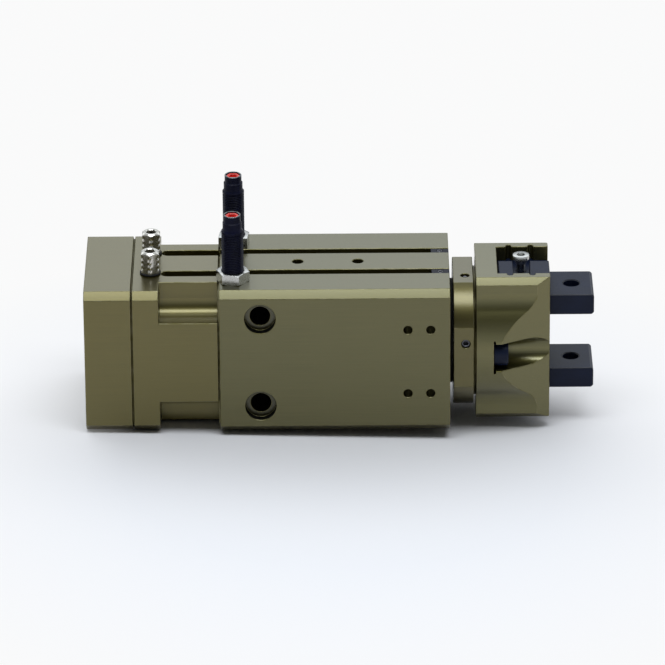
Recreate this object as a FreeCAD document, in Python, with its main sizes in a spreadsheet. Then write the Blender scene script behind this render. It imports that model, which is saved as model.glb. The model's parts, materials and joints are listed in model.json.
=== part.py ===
"""Gripper swivel module: a vane swivel drive that carries a two-finger wedge-hook gripper.

Frame: +X runs along the swivel axis from the rear face to the jaws, +Z is up, and the origin is
the centre of the rear face. Millimetres.
"""
import FreeCAD
import Part
import Sketcher
import math
import os

DRIVING_SIZES = [
    # Housing sections along the swivel axis
    ("body_side", 42.0, "side of the square main body"),
    ("rear_inset", 0.3, "rear cover and drive housing in from the main body's sides"),
    ("edge_chamfer", 2.0, "chamfer on the long edges"),
    ("cover_len", 13.2, "rear cover"),
    ("flange_len", 7.2, "drive housing flange"),
    ("neck_len", 16.1, "drive housing neck"),
    ("body_len", 63.35, "main body"),
    ("tongue_half", 13.0, "half width of the neck's upper and lower tongues"),
    ("ledge_half", 11.8, "half height of the neck's side arms"),
    ("notch_round", 4.4, "fillet in the neck's corner notches"),
    ("seam_wide", 0.4, "width of the shadow gaps between the housing sections"),
    ("seam_deep", 0.5, "depth of the shadow gaps"),
    # Clearances
    ("run_gap", 0.04, "radial gap of turning and sliding round pieces"),
    ("fit_gap", 0.02, "radial gap of seated round pieces"),
    ("slide_gap", 0.06, "gap of the flat jaw guides"),
    ("side_gap", 0.1, "axial gap beside seated rings"),
    ("swing_gap", 0.6, "room round the stop arm"),
    ("jaw_room", 0.3, "room behind the jaws and the wedge hook"),
    ("rod_room", 0.3, "radial room round the piston rod in the gripper housing"),
    ("pin_short", 0.3, "drive pin ends below their hubs"),
    ("journal_out", 0.3, "rear journal out of its bearing"),
    # Swivel shaft and vane drive
    ("chamber_r", 13.0, "vane chamber radius"),
    ("chamber_len", 16.3, "vane chamber length"),
    ("journal_r", 4.0, "rear journal radius"),
    ("rotor_seat_r", 5.0, "shaft radius under the vane rotor"),
    ("rotor_r", 8.0, "vane rotor hub radius"),
    ("drive_r", 7.0, "shaft radius in the chamber wall and under the stop arm"),
    ("collar_r", 8.5, "shaft collar radius between the mounting holes"),
    ("feed_r", 12.5, "shaft radius in the air feed"),
    ("hub_r", 10.5, "shaft radius under the swivel flange"),
    ("collar_start", 8.5, "main body rear face to the collar"),
    ("feed_start", 15.5, "main body rear face to the air feed"),
    ("vane_half", 2.5, "half thickness of the vane"),
    ("stator_half", 4.0, "half width of the stator block"),
    ("strip_half", 0.8, "half thickness of the seal strips"),
    ("strip_depth", 1.8, "depth of the seal strips"),
    ("pin_r", 1.5, "drive pin radius"),
    ("stator_pin_r", 1.0, "stator pin radius"),
    ("stator_pin_z", 11.3, "stator pin height over the axis"),
    ("stator_pin_depth", 3.0, "stator pin depth in each piece"),
    # Bearings and seals
    ("rear_ring_r", 8.0, "rear bearing outer radius"),
    ("rear_ring_len", 5.0, "rear bearing width"),
    ("rear_ring_start", 5.0, "rear face to the rear bearing"),
    ("rear_ball_r", 1.2, "rear bearing ball radius"),
    ("front_ring_r", 16.0, "front bearing outer radius"),
    ("front_ring_len", 4.0, "front bearing width"),
    ("front_ring_inset", 1.4, "front bearing to the main body's front face"),
    ("front_ball_r", 1.0, "front bearing ball radius"),
    ("clip_len", 0.7, "bearing retaining ring thickness"),
    ("clip_depth", 0.6, "bearing retaining ring groove depth"),
    ("seal_len", 2.0, "width of a shaft seal"),
    ("seal_depth", 1.2, "depth of a shaft seal groove"),
    ("cover_seal_r", 14.2, "cover seal centre radius"),
    ("cover_seal_wire", 0.5, "cover seal section radius"),
    # Stop arm and shock absorbers
    ("arm_r", 15.0, "stop arm reach"),
    ("arm_half", 2.5, "half thickness of the stop arm"),
    ("arm_hub_r", 9.5, "stop arm hub radius"),
    ("arm_len", 6.0, "stop arm width"),
    ("arm_rise", 1.4, "room for the stop arm to rise past the level"),
    ("shock_start", 4.15, "main body rear face to the shock absorbers"),
    ("shock_y", 12.3, "shock absorbers from the swivel axis"),
    ("shock_r", 3.0, "shock absorber thread radius"),
    ("shock_thread", 27.9, "shock absorber threaded length"),
    ("shock_neck_r", 2.6, "shock absorber neck radius"),
    ("shock_neck", 2.5, "shock absorber neck length"),
    ("shock_tip_r", 2.33, "shock absorber tip radius"),
    ("shock_tip", 1.9, "shock absorber tip length"),
    ("front_shock_low", 8.2, "front shock absorber's lower end over the axis"),
    ("rear_shock_low", 9.5, "rear shock absorber's lower end over the axis"),
    ("rod_r", 1.1, "shock rod radius"),
    ("rod_head_r", 1.9, "shock rod head radius"),
    ("rod_head", 1.2, "shock rod head height"),
    ("rod_reach", 5.6, "shock rod head below the shock absorber"),
    ("rod_inside", 7.5, "shock rod length inside the shock absorber"),
    ("rod_travel", 4.2, "free bore above the shock rod"),
    ("nut_flats", 8.0, "lock nut across flats"),
    ("nut_high", 3.0, "lock nut height"),
    ("adjuster_flats", 3.6, "adjuster socket across flats"),
    ("adjuster_deep", 2.6, "adjuster socket depth"),
    ("adjuster_sunk", 0.3, "adjuster below the tip"),
    ("adjuster_key", 2.2, "key hole in the adjuster across flats"),
    ("adjuster_key_deep", 1.2, "key hole depth in the adjuster"),
    # Top face
    ("slot_y", 7.0, "sensor slots from the centre line"),
    ("slot_open", 2.9, "sensor slot mouth"),
    ("slot_wide", 3.5, "sensor slot inside width"),
    ("slot_deep", 4.2, "sensor slot depth"),
    ("slot_end", 0.5, "neck shoulder to the slots' round ends"),
    ("clip_long", 4.95, "slot clip length"),
    ("clip_sunk", 0.15, "slot clip below the top face"),
    ("clip_screw_r", 0.8, "slot clip screw radius"),
    ("clip_screw_long", 2.4, "slot clip screw length"),
    ("port_first", 21.8, "main body rear face to the first gripper port"),
    ("port_pitch", 16.5, "gripper port spacing"),
    ("port_r", 1.5, "gripper port radius"),
    ("feed_hole_r", 1.0, "cross holes in the shaft"),
    ("feed_groove", 3.0, "feed groove width"),
    ("feed_depth", 1.0, "feed groove depth"),
    ("fitting_x", 18.0, "air fittings from the rear face"),
    ("fitting_y", 6.6, "air fittings from the centre line"),
    ("fitting_flats", 4.9, "air fitting across flats"),
    ("fitting_high", 6.1, "air fitting hexagon height"),
    ("fitting_first", 1.25, "seal to the first notch in the air fitting's corners"),
    ("fitting_pitch", 1.57, "spacing of the notches"),
    ("fitting_notch", 0.9, "width of a notch"),
    ("fitting_groove", 0.34, "depth of a notch"),
    ("fitting_thread_r", 1.5, "air fitting thread radius"),
    ("fitting_thread", 4.5, "air fitting thread length"),
    ("fitting_bore_r", 1.0, "air fitting bore radius"),
    ("fitting_mouth_r", 1.35, "air fitting mouth radius"),
    ("fitting_mouth", 1.6, "air fitting mouth depth"),
    ("fitting_seal_r", 2.9, "air fitting seal radius"),
    ("fitting_seal", 0.6, "air fitting seal thickness"),
    # Fasteners and mounting holes of the housing
    ("cover_bolt_edge", 3.4, "cover screws in from the rear cover's sides"),
    ("cover_bolt_z", 6.5, "cover screws from the axis, upwards"),
    ("cover_bolt_r", 1.5, "cover screw radius"),
    ("cover_bolt_head_r", 2.75, "cover screw head radius"),
    ("cover_bolt_head", 3.0, "cover screw head height"),
    ("cover_bolt_sunk", 3.4, "cover screw counterbore depth"),
    ("cover_bolt_grip", 7.0, "cover screw depth in the main body"),
    ("hole_gap", 0.1, "radial gap of screws in their holes"),
    ("mount_start", 11.5, "main body rear face to the mounting holes"),
    ("mount_z", 13.0, "mounting holes from the axis"),
    ("mount_r", 2.75, "mounting hole radius"),
    ("mount_sink_r", 4.25, "mounting counterbore radius"),
    ("mount_sink", 2.4, "mounting counterbore depth"),
    ("side_first", 51.8, "main body rear face to the first side threads"),
    ("side_pitch", 6.2, "side thread spacing"),
    ("side_z", 9.5, "side threads from the axis"),
    ("side_r", 1.2, "side thread core radius"),
    ("side_deep", 5.0, "side thread depth"),
    # Swivel flange
    ("disc_gap", 1.0, "main body to the swivel flange"),
    ("disc_len", 5.55, "swivel flange thickness"),
    ("disc_r", 20.2, "swivel flange radius"),
    ("disc_flat", 18.2, "axis to the swivel flange's flats"),
    ("spigot_edge", 0.4, "centring face in from the swivel flange's flats"),
    ("spigot_len", 0.6, "centring face height"),
    ("dust_seal_r", 14.4, "dust seal radius"),
    ("grub_start", 3.3, "swivel flange rear face to its clamp screws"),
    ("grub_off", 3.9, "clamp screws from the centre of their flat"),
    ("grub_r", 1.2, "clamp screw radius"),
    ("grub_sunk", 0.6, "clamp screw below its flat"),
    # Gripper housing
    ("head_len", 20.3, "gripper housing length"),
    ("head_half_y", 13.5, "gripper housing half width"),
    ("head_half_z", 21.0, "gripper housing half height"),
    ("head_chamfer", 1.75, "gripper housing chamfer"),
    ("boss_r", 19.4, "gripper housing boss radius"),
    ("boss_round", 8.0, "fillet between boss and side"),
    ("slope_start", 6.0, "gripper housing rear face to the slanting sides"),
    ("slope_rise", 0.545, "sideways fall of the slanting sides per length"),
    ("head_bolt_y", 15.2, "gripper housing screws from the axis"),
    ("head_bolt_r", 2.0, "gripper housing screw radius"),
    ("head_bolt_head_r", 3.5, "gripper housing screw head radius"),
    ("head_bolt_head", 4.0, "gripper housing screw head height"),
    ("head_bolt_grip", 4.6, "gripper housing screw depth in the flange"),
    ("head_bolt_wall", 4.8, "gripper housing wall under the screw heads"),
    ("recess_r", 3.95, "screw recess radius"),
    ("spot_r", 6.0, "spot face radius"),
    ("spot_deep", 0.5, "spot face width"),
    ("dowel_r", 1.25, "locating dowel radius"),
    ("dowel_z", 15.5, "locating dowels from the axis"),
    ("dowel_deep", 3.5, "locating dowel depth in each piece"),
    ("guide_wall", 6.0, "gripper housing rear wall"),
    ("guide_half", 9.0, "jaw guide half width"),
    ("rib_first", 9.4, "gripper housing rear face to the first guide rib"),
    ("rib_pitch", 6.1, "guide rib spacing"),
    ("rib_r", 0.7, "guide rib radius"),
    ("rib_out", 1.3, "guide rib height"),
    # Jaws
    ("jaw_low", 4.3, "jaw's inner end over the axis"),
    ("jaw_high", 20.6, "jaw's outer end over the axis"),
    ("jaw_step", 3.6, "depth of the step in the jaw's outer end"),
    ("jaw_step_y", 0.3, "edge of the step from the centre line"),
    ("jaw_slot", 4.5, "width of the jaw's outer slot"),
    ("jaw_slot_x", 12.65, "gripper housing rear face to the jaw's outer slot"),
    ("finger_half", 8.0, "finger half width"),
    ("finger_low", 8.05, "finger's inner face over the axis"),
    ("finger_high", 13.95, "finger's outer face over the axis"),
    ("finger_len", 12.2, "finger beyond the gripper housing"),
    ("finger_hole_x", 6.2, "gripper housing front face to the finger hole"),
    ("finger_hole_r", 2.25, "finger hole radius"),
    ("finger_chamfer", 0.6, "chamfer on the finger's end"),
    ("cam_y", 1.5, "cam screw from the centre line"),
    ("cam_r", 1.25, "cam screw radius"),
    ("cam_head_r", 2.3, "cam screw head radius"),
    ("cam_head", 2.5, "cam screw head height"),
    ("upper_cam_over", 1.4, "upper cam screw head over the jaw's outer end"),
    ("lower_cam_over", 0.2, "lower cam screw head over the jaw's outer end"),
    ("cam_grip", 4.0, "cam screw depth in the jaw"),
    # Gripper drive
    ("stroke", 4.0, "stroke of each jaw and of the piston"),
    ("piston_r", 8.0, "gripper cylinder radius"),
    ("cylinder_start", 20.0, "main body rear face to the gripper cylinder"),
    ("piston_len", 8.0, "gripper piston length"),
    ("piston_start", 29.0, "main body rear face to the gripper piston"),
    ("groove_depth", 1.5, "depth of the piston's ring grooves"),
    ("magnet_len", 2.0, "piston magnet width"),
    ("piston_ring_inset", 1.2, "piston ends to the ring grooves"),
    ("rod_thick_r", 4.0, "piston rod radius"),
    ("rod_tail_r", 2.5, "piston rod radius in the piston"),
    ("rod_nose_r", 2.0, "piston rod radius in the wedge"),
    ("rod_nose", 5.0, "piston rod length in the wedge"),
    ("piston_nut_flats", 8.0, "piston nut across flats"),
    ("piston_nut_len", 3.0, "piston nut height"),
    ("gland_start", 55.5, "main body rear face to the rod gland"),
    ("gland_end_gap", 0.1, "rod gland to the gripper housing"),
    ("gland_seal_x", 3.0, "rod gland rear face to its seal groove"),
    ("wedge_len", 8.0, "wedge length along the axis"),
    ("wedge_front", 4.3, "wedge half height at its front"),
    ("wedge_half", 3.0, "wedge web half width"),
    ("hook_half", 4.5, "wedge hook half width"),
    ("hook_thick", 2.4, "wedge hook height"),
]
SEATS = {"X": "YZ_Plane", "Y": "XZ_Plane", "Z": "XY_Plane"}
FRONT_BALLS = 16
REAR_BALLS = 8
OVERCUT = 1.0
LAND_SHARE = 0.7
NUT_TURNS = {"front": -8.0, "rear": 23.0}
FITTING_TURN = 30.0
FITTING_ROWS = 3


class Dim:
    """A size: its number now, and the sheet expression that keeps it up to date."""

    def __init__(self, value, text):
        self.value = value
        self.text = text

    def join(self, sign, other, value):
        return Dim(value, "(%s %s %s)" % (self.text, sign, other.text))

    def __add__(self, other):
        other = as_dim(other)
        return self.join("+", other, self.value + other.value)

    def __sub__(self, other):
        other = as_dim(other)
        return self.join("-", other, self.value - other.value)

    def __mul__(self, other):
        other = as_dim(other)
        return self.join("*", other, self.value * other.value)

    def __truediv__(self, other):
        other = as_dim(other)
        return self.join("/", other, self.value / other.value)

    def __rsub__(self, other):
        return as_dim(other) - self

    def __neg__(self):
        return Dim(-self.value, "(-%s)" % self.text)

    __radd__ = __add__
    __rmul__ = __mul__


def as_dim(size):
    return size if isinstance(size, Dim) else Dim(float(size), repr(float(size)))


def root(size):
    return Dim(math.sqrt(size.value), "sqrt(%s)" % size.text)


def leg(slant, side):
    """The other short side of a right triangle."""
    return root(slant * slant - side * side)


def bind(item, name, size):
    """Tie one property of a document object to a size."""
    item.setExpression(name, as_dim(size).text)


class Sizes:
    """The driving dimensions, each an attribute that stands for its sheet cell."""

    def __init__(self, document):
        self.sheet = document.addObject("Spreadsheet::Sheet", "Sizes")
        for row, (name, value, note) in enumerate(DRIVING_SIZES, start=1):
            self.sheet.set("A%d" % row, name)
            self.sheet.set("B%d" % row, repr(value))
            self.sheet.set("C%d" % row, note)
            self.sheet.setAlias("B%d" % row, name)
            setattr(self, name, Dim(value, "Sizes." + name))


doc = FreeCAD.newDocument("gripper_swivel_module")
S = Sizes(doc)
doc.recompute()

# Stations along the swivel axis
X_FLANGE = S.cover_len
X_NECK = X_FLANGE + S.flange_len
X_BODY = X_NECK + S.neck_len
X_BODY_END = X_BODY + S.body_len
X_DISC = X_BODY_END + S.disc_gap
X_DISC_END = X_DISC + S.disc_len
X_HEAD = X_DISC_END + S.spigot_len
X_HEAD_END = X_HEAD + S.head_len
X_WALL = X_FLANGE + S.chamber_len
X_COLLAR = X_BODY + S.collar_start
X_FEED = X_BODY + S.feed_start
X_SHOCK = X_BODY + S.shock_start
X_ARM = X_SHOCK - S.arm_len / 2
X_CAVITY = X_ARM + S.arm_len + S.swing_gap
X_PORTS = (X_BODY + S.port_first, X_BODY + S.port_first + S.port_pitch)
X_FRONT_RING = X_BODY_END - S.front_ring_inset - S.front_ring_len
X_CYLINDER = X_BODY + S.cylinder_start
X_PISTON = X_BODY + S.piston_start
X_GLAND = X_BODY + S.gland_start
X_HUB_END = X_DISC_END - S.side_gap
X_GUIDE = X_HEAD + S.guide_wall
X_BOLT_SEAT = X_HEAD + S.head_bolt_wall
X_WEDGE = X_GUIDE + S.jaw_room + S.stroke
X_WEDGE_END = X_WEDGE + S.wedge_len
BODY_TOP = S.body_side / 2
REAR_SIDE = S.body_side - S.rear_inset * 2
REAR_TOP = REAR_SIDE / 2
COVER_BOLT_Y = REAR_TOP - S.cover_bolt_edge
SIDES = (-1, 1)
CORNERS = [(one, other) for one in SIDES for other in SIDES]


# Sketch outlines

def line_to(x, y):
    return (as_dim(x), as_dim(y), None)


def arc_to(x, y, centre, turn):
    """An arc that starts at (x, y) and runs about the centre to the next point, turn 1 for left."""
    return (as_dim(x), as_dim(y), (as_dim(centre[0]), as_dim(centre[1]), turn))


def fix_point(sketch, item, end, x, y):
    for kind, size in (("DistanceX", x), ("DistanceY", y)):
        index = sketch.addConstraint(Sketcher.Constraint(kind, -1, 1, item, end, size.value))
        bind(sketch, "Constraints[%d]" % index, size)


def outline(*steps):
    """A closed outline of straight runs and arcs."""

    def add(sketch):
        base = sketch.GeometryCount
        ends = []
        for index, (x, y, bend) in enumerate(steps):
            nx, ny, unused = steps[(index + 1) % len(steps)]
            here = FreeCAD.Vector(x.value, y.value, 0)
            there = FreeCAD.Vector(nx.value, ny.value, 0)
            if bend is None:
                sketch.addGeometry(Part.LineSegment(here, there), False)
                ends.append((1, 2))
                continue
            centre = FreeCAD.Vector(bend[0].value, bend[1].value, 0)
            first, last = (here, there) if bend[2] > 0 else (there, here)
            angles = [math.atan2(p.y - centre.y, p.x - centre.x) for p in (first, last)]
            if angles[1] <= angles[0]:
                angles[1] += 2 * math.pi
            circle = Part.Circle(centre, FreeCAD.Vector(0, 0, 1), first.distanceToPoint(centre))
            sketch.addGeometry(Part.ArcOfCircle(circle, angles[0], angles[1]), False)
            ends.append((1, 2) if bend[2] > 0 else (2, 1))
        for index, (x, y, bend) in enumerate(steps):
            after = (index + 1) % len(steps)
            joint = (base + index, ends[index][1], base + after, ends[after][0])
            sketch.addConstraint(Sketcher.Constraint("Coincident", *joint))
            fix_point(sketch, base + index, ends[index][0], x, y)
        for index, (x, y, bend) in enumerate(steps):
            if bend is None:
                continue
            nx, ny, unused = steps[(index + 1) % len(steps)]
            upright = abs(ny.value - y.value) > abs(nx.value - x.value)
            kind, size = ("DistanceX", bend[0]) if upright else ("DistanceY", bend[1])
            number = sketch.addConstraint(Sketcher.Constraint(kind, -1, 1, base + index, 3, size.value))
            bind(sketch, "Constraints[%d]" % number, size)

    return add


def polygon(*points):
    return outline(*[line_to(x, y) for x, y in points])


def rectangle(x0, x1, y0, y1):
    return polygon((x0, y0), (x1, y0), (x1, y1), (x0, y1))


def circle(x, y, radius):
    x, y, radius = as_dim(x), as_dim(y), as_dim(radius)

    def add(sketch):
        item = sketch.addGeometry(
            Part.Circle(FreeCAD.Vector(x.value, y.value, 0), FreeCAD.Vector(0, 0, 1), radius.value), False)
        index = sketch.addConstraint(Sketcher.Constraint("Radius", item, radius.value))
        bind(sketch, "Constraints[%d]" % index, radius)
        fix_point(sketch, item, 3, x, y)

    return add


def hexagon(flats):
    """A hexagon about the origin with two corners on the first axis."""
    half = flats / 2
    corner = flats / math.sqrt(3)
    return polygon((corner, 0), (corner / 2, half), (-corner / 2, half),
                   (-corner, 0), (-corner / 2, -half), (corner / 2, -half))


def chamfered_square(side, chamfer):
    far = side / 2
    near = far - chamfer
    return polygon((far, -near), (far, near), (near, far), (-near, far),
                   (-far, near), (-far, -near), (-near, -far), (near, -far))


# Features of a sub-part

def new_body(label):
    body = doc.addObject("PartDesign::Body", label)
    body.Label = label
    return body


def draw(body, axis, at, loops):
    """A sketch of the body, square to an axis at the given station."""
    sketch = body.newObject("Sketcher::SketchObject", body.Label + "_sketch")
    seat = next(item for item in body.Origin.OriginFeatures if item.Role == SEATS[axis])
    sketch.AttachmentSupport = [(seat, "")]
    sketch.MapMode = "FlatFace"
    bind(sketch, "AttachmentOffset.Base.z", -as_dim(at) if axis == "Y" else at)
    for add in loops:
        add(sketch)
    return sketch


def pad(body, axis, at, length, *loops):
    """Add material from the station on along the axis."""
    sketch = draw(body, axis, at, loops)
    feature = body.newObject("PartDesign::Pad", body.Label + "_pad")
    feature.Profile = sketch
    feature.Reversed = axis == "Y"
    bind(feature, "Length", length)


def pocket(body, axis, at, length, *loops):
    """Cut from the station on along the axis."""
    sketch = draw(body, axis, at, loops)
    feature = body.newObject("PartDesign::Pocket", body.Label + "_pocket")
    feature.Profile = sketch
    feature.Reversed = axis != "Y"
    bind(feature, "Length", length)


def turned(body, kind, axis, loops):
    """Revolve about X from (x, radius) outlines, or about Z from (radius, z) outlines."""
    sketch = draw(body, "Z" if axis == "X" else "Y", 0, loops)
    feature = body.newObject("PartDesign::" + kind, body.Label + "_turned")
    feature.Profile = sketch
    feature.ReferenceAxis = (sketch, ["H_Axis" if axis == "X" else "V_Axis"])
    feature.Angle = 360


def revolve(body, axis, *loops):
    turned(body, "Revolution", axis, loops)


def groove(body, axis, *loops):
    turned(body, "Groove", axis, loops)


def ring(label, start, end, inner, outer):
    """A plain ring about the swivel axis."""
    body = new_body(label)
    revolve(body, "X", rectangle(start, end, inner, outer))
    return body


def place(body, x, y, z, axis="Z", angle=0.0):
    """Set a piece that is modelled about its own origin."""
    turn = {"X": (1, 0, 0), "Y": (0, 1, 0), "Z": (0, 0, 1)}[axis]
    body.Placement = FreeCAD.Placement(FreeCAD.Vector(), FreeCAD.Rotation(FreeCAD.Vector(*turn), angle))
    for name, size in (("x", x), ("y", y), ("z", z)):
        bind(body, "Placement.Base." + name, size)
    return body


def group(label, pieces):
    """Like pieces that share one node."""
    item = doc.addObject("Part::Compound", label)
    item.Label = label
    item.Links = pieces
    return item


def cap_screw(label, radius, length, head_r, head):
    """A plain cap screw along Z: the shank below the origin and the head above it."""
    body = new_body(label)
    revolve(body, "Z", polygon(
        (0, -length), (radius, -length), (radius, 0), (head_r, 0), (head_r, head), (0, head)))
    return body


def plain_pin(label, radius, low, high):
    body = new_body(label)
    pad(body, "Z", low, high - low, circle(0, 0, radius))
    return body


# Rear cover and drive housing

def seam_outline():
    """The smaller section that leaves a shadow gap between two housing sections."""
    return chamfered_square(REAR_SIDE - 2 * S.seam_deep, S.edge_chamfer)


def make_rear_cover():
    body = new_body("rear_cover")
    pad(body, "X", 0, S.cover_len - S.seam_wide, chamfered_square(REAR_SIDE, S.edge_chamfer))
    pad(body, "X", S.cover_len - S.seam_wide, S.seam_wide, seam_outline())
    seat = S.rear_ring_r + S.fit_gap
    relief = S.journal_r + S.cover_bolt_r
    groove(body, "X", polygon(
        (S.rear_ring_start - S.seal_len, 0), (X_FLANGE + OVERCUT, 0), (X_FLANGE + OVERCUT, seat),
        (S.rear_ring_start, seat), (S.rear_ring_start, relief), (S.rear_ring_start - S.seal_len, relief)))
    pocket(body, "X", -OVERCUT, S.cover_len + 2 * OVERCUT, *cover_bolt_circles(S.cover_bolt_r + S.hole_gap))
    pocket(body, "X", -OVERCUT, S.cover_bolt_sunk + OVERCUT,
           *cover_bolt_circles(S.cover_bolt_head_r + S.hole_gap))
    pocket(body, "X", X_FLANGE - S.stator_pin_depth - S.side_gap, S.stator_pin_depth + OVERCUT,
           circle(0, S.stator_pin_z, S.stator_pin_r + S.fit_gap))
    return body


def cover_bolt_circles(radius):
    return [circle(COVER_BOLT_Y * y, S.cover_bolt_z * z, radius) for y, z in CORNERS]


def make_cover_screws():
    length = X_BODY + S.cover_bolt_grip - S.cover_bolt_sunk
    screws = []
    for index, (y, z) in enumerate(CORNERS):
        screw = cap_screw(
            "cover_screw_%d" % index, S.cover_bolt_r, length, S.cover_bolt_head_r, S.cover_bolt_head)
        screws.append(place(screw, S.cover_bolt_sunk, COVER_BOLT_Y * y, S.cover_bolt_z * z, "Y", -90.0))
    return group("cover_screws", screws)


def make_cover_seal():
    body = new_body("cover_seal")
    revolve(body, "X", circle(X_FLANGE + S.cover_seal_wire + S.fit_gap, S.cover_seal_r, S.cover_seal_wire))
    return body


def neck_outline():
    far, tongue, ledge, bend = REAR_TOP, S.tongue_half, S.ledge_half, S.notch_round
    out, up = tongue + bend, ledge + bend
    return outline(
        line_to(-far, -ledge), line_to(-far, ledge),
        arc_to(-out, ledge, (-out, up), 1), line_to(-tongue, up), line_to(-tongue, far),
        line_to(tongue, far), arc_to(tongue, up, (out, up), 1), line_to(out, ledge), line_to(far, ledge),
        line_to(far, -ledge), arc_to(out, -ledge, (out, -up), 1), line_to(tongue, -up), line_to(tongue, -far),
        line_to(-tongue, -far), arc_to(-tongue, -up, (-out, -up), 1), line_to(-out, -ledge))


def round_ended_slot(start, end, y, half):
    """A slot along X with a round rear end."""
    return outline(line_to(end, y - half), line_to(end, y + half),
                   arc_to(start + half, y + half, (start + half, y), 1), line_to(start + half, y - half))


def make_drive_housing():
    body = new_body("drive_housing")
    pad(body, "X", X_FLANGE, S.flange_len, chamfered_square(REAR_SIDE, S.edge_chamfer))
    pad(body, "X", X_NECK, S.neck_len, neck_outline())
    shaft_hole = S.drive_r + S.run_gap
    groove(body, "X", polygon(
        (X_FLANGE - OVERCUT, 0), (X_BODY + OVERCUT, 0), (X_BODY + OVERCUT, shaft_hole), (X_WALL, shaft_hole),
        (X_WALL, S.chamber_r), (X_FLANGE - OVERCUT, S.chamber_r)))
    groove(body, "X", rectangle(*wall_seal_span(), S.drive_r / 2, shaft_hole + S.seal_depth))
    groove(body, "X", rectangle(
        X_FLANGE - OVERCUT, X_FLANGE + 2 * S.cover_seal_wire + 2 * S.fit_gap,
        S.cover_seal_r - S.cover_seal_wire - S.fit_gap, S.cover_seal_r + S.cover_seal_wire + S.fit_gap))
    for side in SIDES:
        slot = round_ended_slot(X_NECK + S.slot_end, X_BODY + OVERCUT, S.slot_y * side, S.slot_wide / 2)
        pocket(body, "Z", REAR_TOP - S.slot_deep, S.slot_deep + OVERCUT, slot)
    ports = [circle(S.fitting_x, S.fitting_y * side, S.fitting_bore_r) for side in SIDES]
    pocket(body, "Z", S.chamber_r / 2, REAR_TOP - S.chamber_r / 2, *ports)
    threads = [circle(S.fitting_x, S.fitting_y * side, S.fitting_thread_r + S.fit_gap) for side in SIDES]
    pocket(body, "Z", REAR_TOP - S.fitting_thread - S.side_gap, S.fitting_thread + OVERCUT, *threads)
    pocket(body, "X", X_FLANGE - OVERCUT, X_BODY - X_FLANGE + 2 * OVERCUT,
           *cover_bolt_circles(S.cover_bolt_r + S.hole_gap))
    pocket(body, "X", X_WALL - OVERCUT, S.stator_pin_depth + S.side_gap + OVERCUT,
           circle(0, S.stator_pin_z, S.stator_pin_r + S.fit_gap))
    return body


def wall_seal_span():
    middle = (X_WALL + X_BODY) / 2
    return middle - S.seal_len / 2, middle + S.seal_len / 2


def make_wall_seal():
    start, end = wall_seal_span()
    inner = S.drive_r + S.run_gap
    return ring("wall_seal", start + S.side_gap, end - S.side_gap, inner, inner + S.seal_depth - S.fit_gap)


def make_rear_shaft_seal():
    start = S.rear_ring_start + S.rear_ring_len + S.side_gap
    return ring("rear_shaft_seal", start, start + S.seal_len, S.journal_r + S.run_gap, S.rear_ring_r)


# Vane drive

def chamber_span():
    return X_FLANGE + S.side_gap, X_WALL - S.side_gap


def make_stator_block():
    body = new_body("stator_block")
    start, end = chamber_span()
    inner, outer, half = S.rotor_r + S.run_gap, S.chamber_r - S.fit_gap, S.stator_half
    pad(body, "X", start, end - start, outline(
        arc_to(-half, leg(outer, half), (0, 0), -1), line_to(half, leg(outer, half)),
        arc_to(half, leg(inner, half), (0, 0), 1), line_to(-half, leg(inner, half))))
    pocket(body, "X", start - OVERCUT, end - start + 2 * OVERCUT,
           rectangle(-S.strip_half, S.strip_half, 0, S.rotor_r + S.strip_depth))
    for at in (start - OVERCUT, end - S.stator_pin_depth - S.side_gap):
        pocket(body, "X", at, S.stator_pin_depth + S.side_gap + OVERCUT,
               circle(0, S.stator_pin_z, S.stator_pin_r + S.fit_gap))
    return body


def make_stator_pins():
    reach = S.stator_pin_depth
    pins = []
    for index, at in enumerate((X_FLANGE, X_WALL)):
        pin = plain_pin("stator_pin_%d" % index, S.stator_pin_r, -reach, reach)
        pins.append(place(pin, at, 0, S.stator_pin_z, "Y", 90.0))
    return group("stator_pins", pins)


def make_stator_seal():
    body = new_body("stator_seal")
    start, end = chamber_span()
    pad(body, "X", start, end - start, rectangle(
        -S.strip_half + S.fit_gap, S.strip_half - S.fit_gap,
        S.rotor_r + 2 * S.run_gap, S.rotor_r + S.strip_depth - S.fit_gap))
    return body


def rotor_span():
    start, end = chamber_span()
    return start + S.side_gap, end - S.side_gap


def make_vane_rotor():
    body = new_body("vane_rotor")
    start, end = rotor_span()
    tip = S.chamber_r - S.run_gap
    revolve(body, "X", rectangle(start, end, S.rotor_seat_r + S.fit_gap, S.rotor_r))
    inside = (S.rotor_r + S.rotor_seat_r) / 2
    outside = leg(tip, S.vane_half)
    pad(body, "X", start, end - start, outline(
        line_to(-inside, -S.vane_half), arc_to(-outside, -S.vane_half, (0, 0), -1),
        line_to(-outside, S.vane_half), line_to(-inside, S.vane_half)))
    pocket(body, "X", start - OVERCUT, end - start + 2 * OVERCUT,
           rectangle(-tip - OVERCUT, -tip + S.strip_depth, -S.strip_half, S.strip_half))
    pocket(body, "Z", -S.rotor_r - OVERCUT, 2 * (S.rotor_r + OVERCUT),
           circle((start + end) / 2, 0, S.pin_r + S.fit_gap))
    return body


def make_vane_seal():
    body = new_body("vane_seal")
    start, end = rotor_span()
    tip = S.chamber_r - S.run_gap
    half = S.strip_half - S.fit_gap
    pad(body, "X", start, end - start, rectangle(
        -tip + S.run_gap, -tip + S.strip_depth - S.fit_gap, -half, half))
    return body


def make_rotor_pin():
    start, end = rotor_span()
    reach = S.rotor_r - S.pin_short
    pin = plain_pin("rotor_pin", S.pin_r, -reach, reach)
    return place(pin, (start + end) / 2, 0, 0)


# Swivel shaft with its bearings, seals and stop arm

def feed_seal_stations():
    first, second = X_PORTS
    half = (second - first) / 2
    return (X_FEED + S.seal_len, first + half, second + half)


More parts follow.
